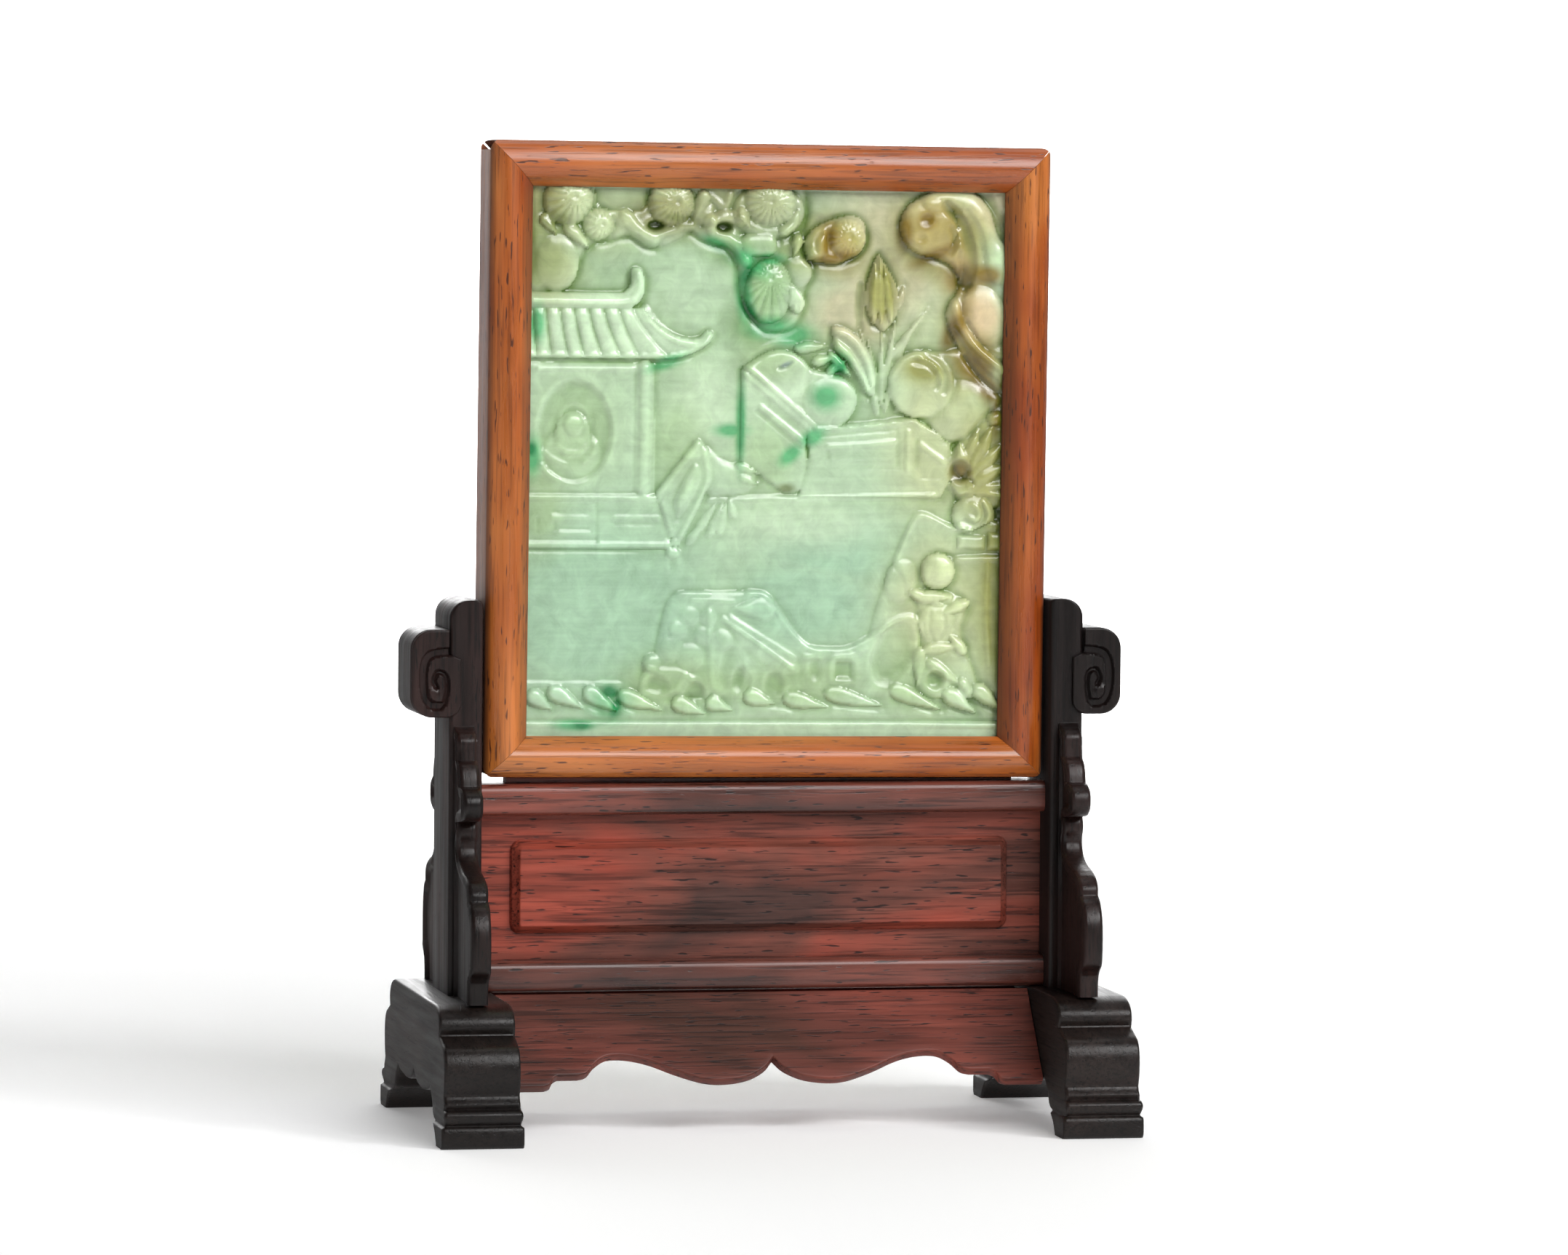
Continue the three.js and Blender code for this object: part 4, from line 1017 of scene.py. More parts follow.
def carve_pavilion():
    """A tiled roof with an upturned eave, a post, a moon window with a hooded sitter, a floor band
    and a balustrade with sunk panels."""
    raise_outline(np.array([(-56, 41.8), (-21.4, 41.8), (-21.8, 46), (-25.2, 54.4), (-25.6, 83.4),
        (-56, 83.4)]), 1.6, 0.9, drop=0.5, sunk=0.35)
    raise_smooth([[(-57, 95.6), (-28.4, 95.6)], [(-28.4, 95.6), (-26.4, 92.9), (-23.4, 90.5),
        (-19.6, 89.0), (-15.8, 88.9), (-13.9, 90.7), (-12.4, 89.9)], [(-12.4, 89.9), (-14.2, 87.4),
        (-18.6, 85.3), (-24, 84.6), (-57, 84.6)], [(-57, 84.6), (-57, 95.6)]], 2.3, 0.6, drop=0.5,
        sunk=0.6)
    # tile rows: grooves from the ridge to the eave that lean over more and more to the right
    tops = np.array([-53.6, -50.5, -47.3, -44.1, -40.8, -37.4, -33.9, -30.6])
    feet = np.array([-52.6, -49.4, -45.5, -42.0, -37.9, -33.6, -29.6, -23.0])
    rows = [[(top, 95), (0.72 * top + 0.28 * foot, 91.6), (0.35 * top + 0.65 * foot, 88.2),
        (foot, 85.4)] for top, foot in zip(tops, feet)]
    add_ridges([[(x - 1.7, z) for x, z in row] for row in rows], 1.55, 0.45)
    add_ridges(rows, 0.5, -0.75)
    add_ridges([[(-28.0, 95.4), (-25.6, 92.2), (-22.4, 89.7), (-18.6, 88.2), (-14.6, 88.4),
        (-13.0, 89.8)]], 1.1, 1.0)
    add_ridges([[(-56, 85.1), (-26, 85.0), (-19.4, 85.5), (-13.6, 88.5)], [(-56, 83.9), (-27, 83.8)],
        [(-52, 81.9), (-30.4, 82.2)]], 0.6, 0.6)
    # ridge beam that ends in an upturned horn
    raise_outline(smooth_line([(-57, 98.9), (-36, 98.9), (-33.6, 99.0), (-31.9, 99.9), (-31.3, 101.6),
        (-31.4, 103.6), (-30.4, 104.9), (-28.9, 104.0), (-28.1, 101.4), (-28.5, 98.6), (-30.2, 96.4),
        (-34, 95.7), (-57, 95.7)], spacing=1.2), 2.6, 0.8, drop=0.6, sunk=0.5)
    add_ridges([[(-56, 97.2), (-34, 97.2), (-30.6, 98.4), (-29.3, 100.8), (-29.8, 103.6)]], 0.85, 0.8)
    add_ridges([[(-27.8, 83), (-27.8, 54.8)]], 1.3, 0.95)
    add_ridges([[(-30.0, 83), (-30.0, 54.8)], [(-25.9, 83), (-25.9, 55)]], 0.4, -0.35)
    sink_oval((-43.6, 68.2), (8.6, 11.6), 0.95, 1.2, rim=0.35)
    # the sitter: robe, hood and a smooth oval face
    raise_oval((-44.2, 63.2), (6.6, 5.8), 1.5, 3.4, drop=0.9, sunk=0.2)
    raise_oval((-44.0, 67.2), (4.0, 5.4), 1.9, 2.6, drop=0.9, sunk=0.3)
    raise_oval((-44.0, 69.4), (2.2, 2.5), 2.5, 2.0, drop=0.9, sunk=0.35)
    add_ridges([[(-50.4, 63.4), (-48.6, 61.8), (-45.8, 60.6)], [(-41.4, 61.2), (-39.4, 63.0),
        (-38.8, 65.4)], [(-47.6, 64.8), (-45.6, 63.4), (-42.6, 63.4), (-40.8, 64.8)],
        [(-51.2, 60.4), (-49.2, 58.2), (-47.4, 57.4)]], 0.6, 0.55)
    add_ridges([[(-47.6, 70.2), (-46.2, 73.0), (-43.8, 74.0), (-41.2, 72.8), (-40.2, 70.4)]], 0.5, 0.35)
    add_ridges([[(-56, 53.2), (-24.8, 53.2)], [(-56, 42.6), (-21.8, 42.6)]], 0.7, 0.75)
    add_ridges([[(-56, 54.4), (-25.4, 54.4)], [(-56, 41.6), (-36, 41.6), (-22, 42.0)]], 0.5, -0.5)
    add_ridges([[(-48.4, 48.7), (-40.2, 48.7)], [(-34.4, 48.9), (-24.4, 48.9)],
        [(-47.4, 45.2), (-40, 45.2)]], 0.6, 0.5)
    add_ridges([[(-48.2, 50.2), (-47.2, 50.2)], [(-47.9, 47.4), (-47.5, 45.8)],
        [(-46.6, 46.4), (-40.4, 46.4)], [(-51.8, 48.6), (-51.8, 45.6)], [(-38.4, 52), (-38.4, 43.4)],
        [(-34, 47.6), (-25, 47.6)], [(-55, 43.9), (-38.6, 43.9)]], 0.5, -0.4)


def carve_bridge():
    """Leaning stone slabs, a rock and a grass tuft between the pavilion and the shore."""
    raise_smooth([[(-13.4, 65.6), (-9.6, 62.0), (-5.4, 61.2), (-2.2, 59.6), (-2.2, 56.4), (-5, 54.2),
        (-13, 53.9), (-14.6, 60)]], 1.7, 2.4, sunk=0.3)
    raise_petals([((-6.8, 61.0), (-1.4, 58.8)), ((-6.2, 58.2), (-1.8, 56.6))], 0.9, 2.4, belly=0.6)
    raise_outline(np.array([(-25.0, 54.4), (-15.6, 66.8), (-13.2, 64.6), (-12.2, 57.6), (-15.6, 50.2),
        (-18.8, 43.6), (-21.8, 44.6)]), 1.8, 1.0, drop=0.6, sunk=0.5)
    raise_smooth([[(-21.0, 52.4), (-19.4, 56.0), (-16.0, 61.2), (-14.9, 57.4), (-17.6, 51.6),
        (-20.0, 48.8)]], 2.4, 1.3, sunk=0.5)
    raise_petals([((-19.9, 51.2), (-16.1, 58.6))], 1.1, 2.8, belly=0.7)
    add_ridges([[(-24.4, 54.4), (-15.4, 65.6)], [(-14.0, 64.0), (-13.2, 57.6), (-16.6, 50.0),
        (-19.4, 44.6)], [(-23.4, 52.0), (-21.6, 46.6)]], 0.7, 0.55)
    raise_petals([((-12.8, 44.4), (-9.4, 53.0)), ((-10.4, 45.2), (-8.6, 53.2)),
        ((-15.6, 45.6), (-11.0, 52.4)), ((-7.0, 48.8), (-8.2, 53.4)), ((-17.6, 43.0), (-13.8, 48.6))],
        0.95, 1.75, drop=0.5, belly=0.55)
    raise_oval((-20.8, 41.0), (1.5, 1.3), 2.3, 1.1)
    raise_oval((-20.4, 43.4), (1.3, 1.0), 2.2, 0.9)
    add_ridges([[(-22.2, 43.8), (-22.0, 36.8)], [(-19.4, 39.6), (-19.0, 36.4)]], 0.6, 0.35)


def carve_garden_wall():
    """A wall that steps back, with a ridged coping, an inset panel, and rounded rocks behind."""
    raise_smooth([[(-5.6, 82.6), (-2.2, 84.9), (0.8, 86.4), (5.3, 86.4), (8.4, 84.4), (10.6, 82.4),
        (14.6, 81.6), (18.4, 79.9), (20.4, 76.6), (19.9, 72.8), (17.4, 70.0), (12, 68.8), (8, 68),
        (-4, 78)]], 2.3, 1.4, drop=0.9, sunk=0.6)
    raise_oval((14.4, 75.4), (6.4, 5.6), 2.9, 4.6, drop=1.3, sunk=0.15, lean=-10)
    add_ridges([[(9.9, 82.4), (9.0, 79.2), (9.6, 75.2)]], 0.9, -0.35)
    add_ridges([[(2.4, 82.8), (4.0, 83.0), (5.4, 84.0)]], 0.45, -0.9)
    raise_smooth([[(-5.7, 82.3), (10.0, 69.2)], [(10.0, 69.2), (9.2, 66), (9.6, 61), (8.4, 55.4)],
        [(8.4, 55.4), (5.2, 54.4), (1.6, 56.6), (-3.4, 60.2), (-5.7, 61.6)],
        [(-5.7, 61.6), (-5.7, 82.3)]], 1.75, 1.0, drop=0.7, sunk=0.6)
    raise_smooth([[(9.6, 69.0), (13.0, 69.2), (24, 70.3), (33.4, 71.4), (35.4, 70.6), (42.4, 66.4)],
        [(42.4, 66.4), (43, 60), (40.4, 53.9)], [(40.4, 53.9), (7.6, 53.9)], [(7.6, 53.9), (9.6, 61),
        (9.6, 69.0)]], 1.95, 0.7, drop=0.5, sunk=0.35)
    add_ridges([[(-4.5, 82.8), (11.0, 69.8)], [(-5.2, 81.4), (9.8, 69.2)], [(11.6, 69.0), (24, 70.2),
        (33.2, 71.2), (35.2, 70.3), (42.4, 66.4)]], 0.62, 1.0)
    add_ridges([[(-1.2, 73.8), (9.0, 65.9)], [(14.2, 65.1), (22, 65.5), (29.6, 66.3)],
        [(32.6, 68.6), (32.6, 60.0)], [(35.4, 65.8), (38.4, 63.6), (41.4, 61.6)]], 0.7, 0.75)
    add_ridges([[(-2.4, 73.0), (8.2, 64.6)], [(14.2, 64.0), (14.2, 61.0)], [(30.2, 68.4), (30.2, 61.0)],
        [(34.7, 66.8), (34.7, 60.8)], [(9.4, 65.4), (9.8, 60.2), (8.8, 57.0)],
        [(13.0, 67.6), (30, 69.2)]], 0.5, -0.45)
    add_ridges([[(2.6, 64.8), (5.6, 61.6)], [(1.6, 63.4), (5.8, 59.6)], [(1.4, 61.8), (6.2, 57.8)],
        [(16.4, 59.6), (31.4, 59.4)], [(11, 57.2), (40, 57.4)], [(11.4, 61.4), (29.4, 61.9)]], 0.55,
        0.3)
    add_ridges([[(-12.6, 52.9), (-4, 53.0), (14, 53.5), (39, 54.1)]], 0.7, 0.7)
    add_ridges([[(-12.4, 54.3), (4, 54.6), (38, 55.3)]], 0.5, -0.4)
    area = near([(4.8, 55.6)], 4)
    carving[area] -= 1.1 * bell(np.hypot((carving_x[area] - 4.8) / 1.5, carving_z[area] - 55.7), 0, 1.0)


def carve_plants():
    """A spear leaf, thin blades, and folded plantain leaves over the rocks."""
    raise_petals([((26.6, 77), (31.6, 90.6)), ((26.8, 79), (34.0, 92.6)), ((27.4, 84), (37.2, 96.9)),
        ((26.8, 77), (29.6, 95.4)), ((26.0, 77), (20.8, 92.6)), ((26.2, 75), (22.8, 90.4)),
        ((26.4, 74), (26.2, 92.6)), ((27.2, 73), (29.4, 84)), ((25.6, 72), (23.6, 82)),
        ((29.8, 96.0), (31.4, 102.0))], 0.75, 1.7, drop=0.5, belly=0.6, sunk=0.2)
    raise_petals([((26.8, 91.2), (25.3, 108.6))], 3.9, 2.0, drop=0.7, belly=0.75, sunk=0.7)
    raise_petals([((24.2, 92.6), (24.4, 107.0)), ((25.9, 92.6), (25.4, 108.0)),
        ((28.3, 92.8), (26.4, 106.6))], 0.95, 2.9, drop=0.9, belly=0.7, sunk=0.3)
    add_ridges([[(21.2, 101.6), (20.8, 97.0), (21.4, 91.4)]], 0.9, -0.6)
    raise_smooth([[(14.6, 91.8), (17.6, 91.9), (21.0, 89.6), (23.6, 85.4), (24.9, 80.4), (24.6, 76.6),
        (22.8, 77.4), (21.4, 80.2), (18.9, 83.8), (15.6, 86.8)]], 2.2, 1.0, sunk=0.6)
    add_ridges([[(15.8, 91.4), (19.4, 89.4), (22.6, 85.0), (24.2, 79.4)], [(15.6, 88.4), (18.8, 85.2),
        (21.4, 81.2), (22.8, 78.2)]], 0.85, 0.9)
    add_ridges([[(15.4, 90.0), (18.8, 87.6), (21.6, 83.6), (23.4, 78.8)]], 0.5, -0.5)
    raise_petals([((6.2, 87.0), (14.4, 87.8)), ((10.4, 84.0), (15.6, 85.2))], 1.2, 2.2, drop=0.7,
        belly=0.6)
    raise_petals([((13.6, 81.6), (18.6, 84.8)), ((14.2, 86.2), (19.6, 80.6))], 1.0, 2.5, drop=0.7,
        belly=0.6)
    add_ridges([[(-6, 83), (-3.2, 85.6), (1.4, 88.0), (6.2, 88.2)]], 0.6, 0.3)


def carve_trunk():
    """Boulders, one with a swirl, and an old trunk that twists down the right edge from a
    hollow-headed knob."""
    raise_smooth([[(29.2, 73.0), (33.0, 72.4), (36.4, 71.0), (41.8, 66.2), (46.0, 67.2), (49.6, 70.6),
        (56, 72), (56, 92), (43.6, 87.4), (39, 86.8), (36, 87.2)]], 1.9, 2.0, sunk=0.3)
    raise_oval((44.0, 73.6), (7.2, 7.0), 2.7, 6.0, drop=1.3, sunk=0.3)
    raise_oval((35.4, 79.2), (7.6, 7.6), 2.7, 3.4, drop=1.2, sunk=0.5)
    add_ridges([[(36.4, 85.8), (39.6, 83.8), (41.2, 80.4), (40.6, 77.6)], [(33.6, 84.4), (37.0, 83.6),
        (39.0, 81.0), (38.8, 78.6)]], 0.8, -0.7)
    add_ridges([[(28.8, 81.4), (31.2, 84.9), (34.6, 86.3)], [(35.0, 85.4), (38.4, 83.4), (40.0, 80.0)]],
        0.7, 0.5)
    raise_smooth([[(30.2, 115.2), (31.6, 118.8), (35.0, 121.6), (40.0, 123.4), (46.6, 122.8),
        (50.4, 119.0), (52.6, 113.0), (56, 106), (56, 76)], [(56, 76), (51.4, 78.4), (47.2, 83.0),
        (43.9, 87.9), (41.6, 92.8), (41.2, 96.4), (43.6, 100.2), (44.0, 103.0), (41.8, 106.2),
        (38.2, 107.8), (34.6, 109.8), (31.6, 112.4), (30.2, 115.2)]], 2.8, 5.0, drop=2.0, sunk=0.6)
    raise_oval((36.8, 114.8), (6.6, 6.6), 3.4, 6.4, drop=1.5, sunk=0)
    add_ridges([[(37.6, 121.4), (43.4, 121.2), (48.4, 117.6), (51.2, 111.8), (53, 105)]], 3.0, 0.9)
    add_ridges([[(40.6, 119.4), (43.6, 116.2), (45.6, 111.4), (46.2, 106.4), (45.4, 101.4)]], 1.5, -1.1)
    add_ridges([[(45.0, 118.4), (48.0, 114.0), (49.6, 107.6)]], 0.8, -0.5)
    add_ridges([[(41.8, 114.6), (42.6, 111.6), (41.6, 109.0)], [(44.0, 108.8), (44.4, 105.4),
        (44.2, 102.0)]], 0.9, -0.6)
    sink_oval((35.8, 116.4), (1.6, 1.6), 0.5, 1.2, rim=0.1)
    sink_oval((34.6, 112.2), (1.3, 1.3), 0.4, 1.0, rim=0.1)
    raise_oval((49.8, 94.9), (5.0, 7.2), 3.5, 4.8, drop=1.6, sunk=0.6, lean=-20)
    add_ridges([[(42.7, 97.4), (44.0, 93.2), (47.4, 88.6), (51.6, 84.6), (56, 81.6)]], 1.1, 1.1)
    add_ridges([[(45.6, 93.4), (48.6, 88.6), (53, 85.0), (56, 83.6)], [(42.9, 92.0), (46.2, 86.6),
        (50.4, 81.8), (55, 78.6)], [(45.4, 85.6), (49.2, 81.0), (53.6, 77.8)]], 0.7, -0.7)
    raise_outline(np.array([(50.6, 123.5), (52.8, 118.6), (56, 117), (56, 123.5)]), 1.2, 1.0, sunk=0)


def carve_foliage():
    """Fan-shaped leaf clusters over a hollow, and curling rocks down the right edge."""
    raise_smooth([[(41.4, 60.4), (43.6, 65.4), (46.8, 68.4), (51.0, 72.6), (56, 74), (56, 53),
        (44.2, 53.6)]], 2.0, 1.6, sunk=0.5)
    raise_petals([((46.0, 58.4), (48.6, 69.6)), ((46.6, 58.2), (52.2, 70.6)),
        ((47.2, 57.8), (54.6, 66.6)), ((47.6, 57.2), (55.4, 61.6)), ((45.4, 58.6), (44.4, 66.4)),
        ((51.4, 70.4), (53.8, 73.4))], 1.7, 2.9, drop=1.0, belly=0.75, sunk=0.35)
    sink_oval((44.5, 59.7), (2.5, 2.9), 1.5, 1.2, rim=0.3)
    add_ridges([[(42.4, 56.6), (44.4, 54.8), (47.0, 56.0)], [(46.8, 56.6), (50, 56.4), (56, 56.7)],
        [(46.8, 54.8), (50, 55.0), (56, 54.2)]], 0.7, 0.7)
    raise_oval((48.0, 49.8), (5.0, 4.6), 2.4, 3.0, drop=1.0, sunk=0.45)
    add_ridges([[(44.6, 47.6), (47.4, 46.2), (50.4, 47.4), (51.4, 50.4), (50.0, 53.4)],
        [(46.8, 49.4), (48.6, 48.8), (49.2, 51.0), (47.6, 52.4)]], 0.6, 0.6)
    add_ridges([[(45.6, 48.8), (48.2, 47.8), (50.2, 49.6), (49.6, 52.4)]], 0.5, -0.5)
    raise_smooth([[(23.8, 20.0), (25.4, 27.0), (27.6, 34.0), (30.0, 39.8), (32.6, 46.2), (34.8, 50.0),
        (37.0, 50.2), (42.8, 47.4), (46.6, 46.2)], [(46.6, 46.2), (56, 46.0), (56, 8)],
        [(56, 8), (30, 8)], [(30, 8), (23.8, 20.0)]], 1.5, 1.5, sunk=0.35)
    add_ridges([[(30.2, 39.6), (33.0, 46.2), (35.0, 49.6), (37.2, 49.8), (42.8, 47.2), (47.2, 46.3)]],
        0.7, 0.8)
    raise_outline(np.array([(44.4, 42.4), (50.6, 42.4), (50.6, 45.4), (44.4, 45.4)]), 2.2, 0.8,
        sunk=0.4)
    raise_outline(np.array([(51.4, 42.2), (56, 42.2), (56, 45.8), (51.4, 45.8)]), 2.1, 0.8, sunk=0.4)
    add_ridges([[(39.4, 41.2), (44, 41.0), (56, 41.4)]], 0.6, -0.6)
    add_ridges([[(44.6, 40.0), (56, 40.2)], [(51.4, 39), (51.2, 28), (52, 16)]], 0.6, 0.4)


def carve_child():
    """A small round-headed child with a plain, smooth face, who holds a sack, one knee raised."""
    raise_smooth([[(35.0, 32.6), (38.6, 33.4), (44.0, 32.2), (47.0, 29.4), (45.6, 25.0), (46.4, 20.6),
        (49.6, 12.0), (49.0, 7.6), (43, 6.6), (36.6, 9.6), (34.8, 14.6), (36.4, 20.0), (35.6, 26.6)]],
        2.2, 2.2, sunk=0.5)
    raise_oval((31.6, 35.0), (3.6, 5.0), 2.3, 3.6, drop=1.1, sunk=0.4, lean=15)
    raise_oval((40.0, 25.4), (4.2, 5.0), 2.8, 3.4, drop=1.2, sunk=0.3)
    raise_petals([((33.4, 32.6), (41.6, 29.4)), ((47.2, 30.4), (40.6, 27.4)),
        ((36.0, 31.6), (43.8, 31.4))], 1.3, 3.2, drop=1.0, belly=0.6)
    raise_petals([((36.4, 19.4), (46.4, 20.6)), ((46.6, 18.4), (42.4, 23.4)),
        ((37.4, 17.4), (46.0, 11.2)), ((36.2, 20.2), (35.6, 10.8)), ((45.4, 13.2), (48.6, 6.4)),
        ((42.4, 10.2), (47.4, 8.4))], 1.35, 3.1, drop=1.0, belly=0.6)
    add_ridges([[(38.4, 28.0), (38.0, 24.4), (39.2, 21.6)], [(41.4, 27.2), (41.8, 24.6), (40.8, 22.2)],
        [(36.8, 25.4), (37.2, 22.4)]], 0.5, -0.45)
    add_ridges([[(29.6, 38.4), (31.8, 35.6), (32.6, 31.8)], [(33.8, 38.2), (33.4, 35.2)]], 0.5, -0.35)
    sink_oval((39.6, 12.6), (2.3, 2.2), 1.3, 1.1, rim=0.3)
    raise_oval((39.9, 37.2), (3.9, 4.1), 3.7, 3.8, drop=1.7, sunk=0.7)


def carve_rocks():
    """A low rock shelf in the middle foreground with a ridge that sweeps up to the right, round
    hollows along its foot and a leaf-shaped hollow."""
    raise_smooth([[(-28.6, 8.6), (-27.4, 14.2), (-25.2, 17.0), (-24.0, 22.0), (-22.4, 29.0),
        (-19.6, 32.2), (-11, 32.4), (-2.6, 32.6), (1.0, 31.8), (3.6, 28.0), (6.8, 23.4), (10.2, 20.4),
        (14.2, 19.8), (19.2, 19.9), (23.4, 21.8), (28.4, 25.2), (33.6, 27.4), (36.0, 26.2)],
        [(36.0, 26.2), (36.6, 8)], [(36.6, 8), (-28.6, 8.6)]], 1.7, 1.6, sunk=0.45)
    add_ridges([[(-3.4, 32.2), (0.4, 31.6), (3.2, 28.2), (6.6, 23.4), (10.2, 20.1), (14.2, 19.4),
        (19.2, 19.6), (23.6, 21.7), (28.6, 25.1), (33.2, 27.0), (35.6, 26.2)]], 0.8, 0.9)
    add_ridges([[(-19.6, 31.9), (-12.6, 32.0)], [(-16.4, 30.4), (-7.0, 30.1)],
        [(9.6, 17.9), (14.4, 17.9), (20.6, 18.4), (23.4, 20.0)]], 0.7, 0.6)
    raise_smooth([[(-7.4, 28.7), (-3.6, 30.2), (-0.6, 31.2), (2.6, 28.2), (1.0, 25.8), (-3, 26.6)]],
        2.9, 1.6)
    for middle, radius in (((-16.9, 26.8), 2.3), ((-19.6, 23.6), 2.2), ((-12.6, 26.6), 2.0),
        ((-13.6, 22.4), 2.2), ((-20.8, 19.4), 2.9), ((-16.6, 17.6), 3.2), ((-25.4, 16.2), 2.0),
        ((-9.4, 21.4), 2.6)):
        raise_oval(middle, (radius, radius), 2.4, radius, drop=0.9, sunk=0.15)
    raise_smooth([[(-9.8, 26.8), (-7.2, 26.6), (8.0, 16.2), (6.8, 13.8), (3.0, 14.6), (-4.8, 19.8)]],
        2.0, 1.2)
    add_ridges([[(-9.4, 26.2), (-1.8, 21.2), (6.6, 15.2)], [(-7.6, 26.7), (-0.4, 22.2), (7.4, 17.4)]],
        0.62, 0.9)
    add_ridges([[(-26.6, 15.2), (-22.6, 14.4), (-18.4, 14.2), (-16.4, 12.8)],
        [(-12.4, 28.8), (-12.0, 20), (-11.6, 13), (-10.4, 8.6)], [(-17.8, 13.6), (-19.4, 10.4),
        (-17.6, 7.8)]], 0.8, 0.7)
    sink_oval((29.8, 18.6), (4.6, 8.0), 1.15, 1.6, lean=24, rim=0.35)
    for middle, radii, depth in (((-24.4, 11.2), (3.4, 2.2), 1.2), ((-15.4, 9.6), (2.4, 2.6), 1.3),
        ((-7.2, 14.4), (3.0, 6.0), 0.5), ((-4.8, 12.2), (2.2, 3.4), 0.9), ((2.6, 11.6), (2.4, 2.9),
        1.2), ((11.9, 15.0), (1.5, 2.8), 0.8)):
        sink_oval(middle, radii, depth, 1.2, rim=0.35)
    area = near([(18.6, 14.9)], 5)
    square = inside_rounded_box(carving_x[area] - 18.6, carving_z[area], 2.3, 12.6, 17.0, 0.7)
    carving[area] += 0.6 * bell(square, -0.7, 0.7) - 1.2 * np.clip(square / 0.8, 0, 1)


def carve_waves():
    """Overlapping pointed crests that lean down to the right under a water line, then a plain
    border under a double line."""
    raise_outline(np.array([(-56, 3.4), (56, 3.4), (56, 8.6), (-27, 8.6), (-31, 12.0), (-56, 12.0)]),
        1.1, 0.8, sunk=0.2)
    add_ridges([[(-56, 11.7), (-45, 11.6), (-33, 11.7)]], 0.6, 0.6)
    crests = [((-53.6, 9.6), (-47.8, 5.6)), ((-48.8, 10.4), (-40.8, 6.0)),
        ((-40.8, 10.4), (-32.8, 5.2)), ((-33.2, 9.4), (-22.6, 5.6)), ((-20.6, 7.8), (-12.8, 4.8)),
        ((-12.8, 8.0), (-6.8, 5.6)), ((-4.2, 9.4), (3.2, 7.0)), ((4.8, 8.8), (15.2, 6.4)),
        ((14.2, 10.0), (28.0, 6.6)), ((29.2, 10.9), (41.6, 5.8)), ((41.6, 10.2), (49.6, 5.0)),
        ((48.6, 11.4), (55.4, 5.6))]
    raise_petals(crests, 1.9, 3.0, drop=1.3, belly=0.5, sunk=0.6)
    add_ridges([[(-44.2, 8.2), (-38, 4.6)], [(-36.4, 8.0), (-29.6, 4.6)], [(-1.6, 6.4), (6.6, 5.0)],
        [(16.4, 6.0), (26, 4.8)], [(32, 7.0), (38.6, 4.6)]], 0.6, 0.35)
    border = np.clip((3.5 - carving_z) / 0.4, 0, 1)
    carving[:] = carving * (1 - border) + 1.5 * border
    add_ridges([[(-56, 2.5), (56, 2.5)]], 0.6, 0.5, spacing=4)
    add_ridges([[(-56, 3.7), (56, 3.7)]], 0.5, -0.5, spacing=4)


carve_pines()
carve_pavilion()
carve_garden_wall()
carve_bridge()
carve_plants()
carve_trunk()
carve_foliage()
carve_rocks()
carve_child()
carve_waves()


def blurred(values, reach):
    """Each value averaged with its neighbours, up and down and to the sides, twice."""
    size = 2 * reach + 1
    for axis in (0, 1, 0, 1):
        padding = [(reach + 1, reach) if axis == place else (0, 0) for place in (0, 1)]
        total = np.cumsum(np.pad(values, padding, mode="edge"), axis)
        length = total.shape[axis]
        values = (total.take(range(size, length), axis) - total.take(range(length - size), axis)) / size
    return values


# the cutting is deepest at the top and down the right side, and polishing has softened every edge
depth_share = SHALLOW_SHARE + (1 - SHALLOW_SHARE) * np.clip((carving_z - 60) / 50, 0, 1)
depth_share = np.maximum(depth_share, SHALLOW_SHARE + 0.4 * np.clip((carving_x - 34) / 14, 0, 1))
carving = MIDDLE_LEVEL + (carving - MIDDLE_LEVEL) * depth_share + 0.05 * ripple(4.5, 3)
carving = np.clip((1 - SOFTENING) * carving + SOFTENING * blurred(carving, 1), 0, HIGHEST)

# how far each place stands above its surroundings, near by and further off
standing = 0.5 * (carving - blurred(carving, 3)) + 0.5 * (carving - blurred(carving, 14))
# the edge of the slab, hidden in the frame's groove, is left flat
carving[[0, -1], :] = RIM_HEIGHT
carving[:, [0, -1]] = RIM_HEIGHT


def soft_spot(middle_x, middle_z, half_width, half_height, lean=0):
    """1 in an oval spot out to half its size, falling to 0 at one and a half times its size."""
    radii = (half_width, half_height)
    spread = 1 - inside_oval(carving_x, carving_z, (middle_x, middle_z), radii, lean) / min(radii)
    return np.clip(1.5 - spread, 0, 1) ** 1.5


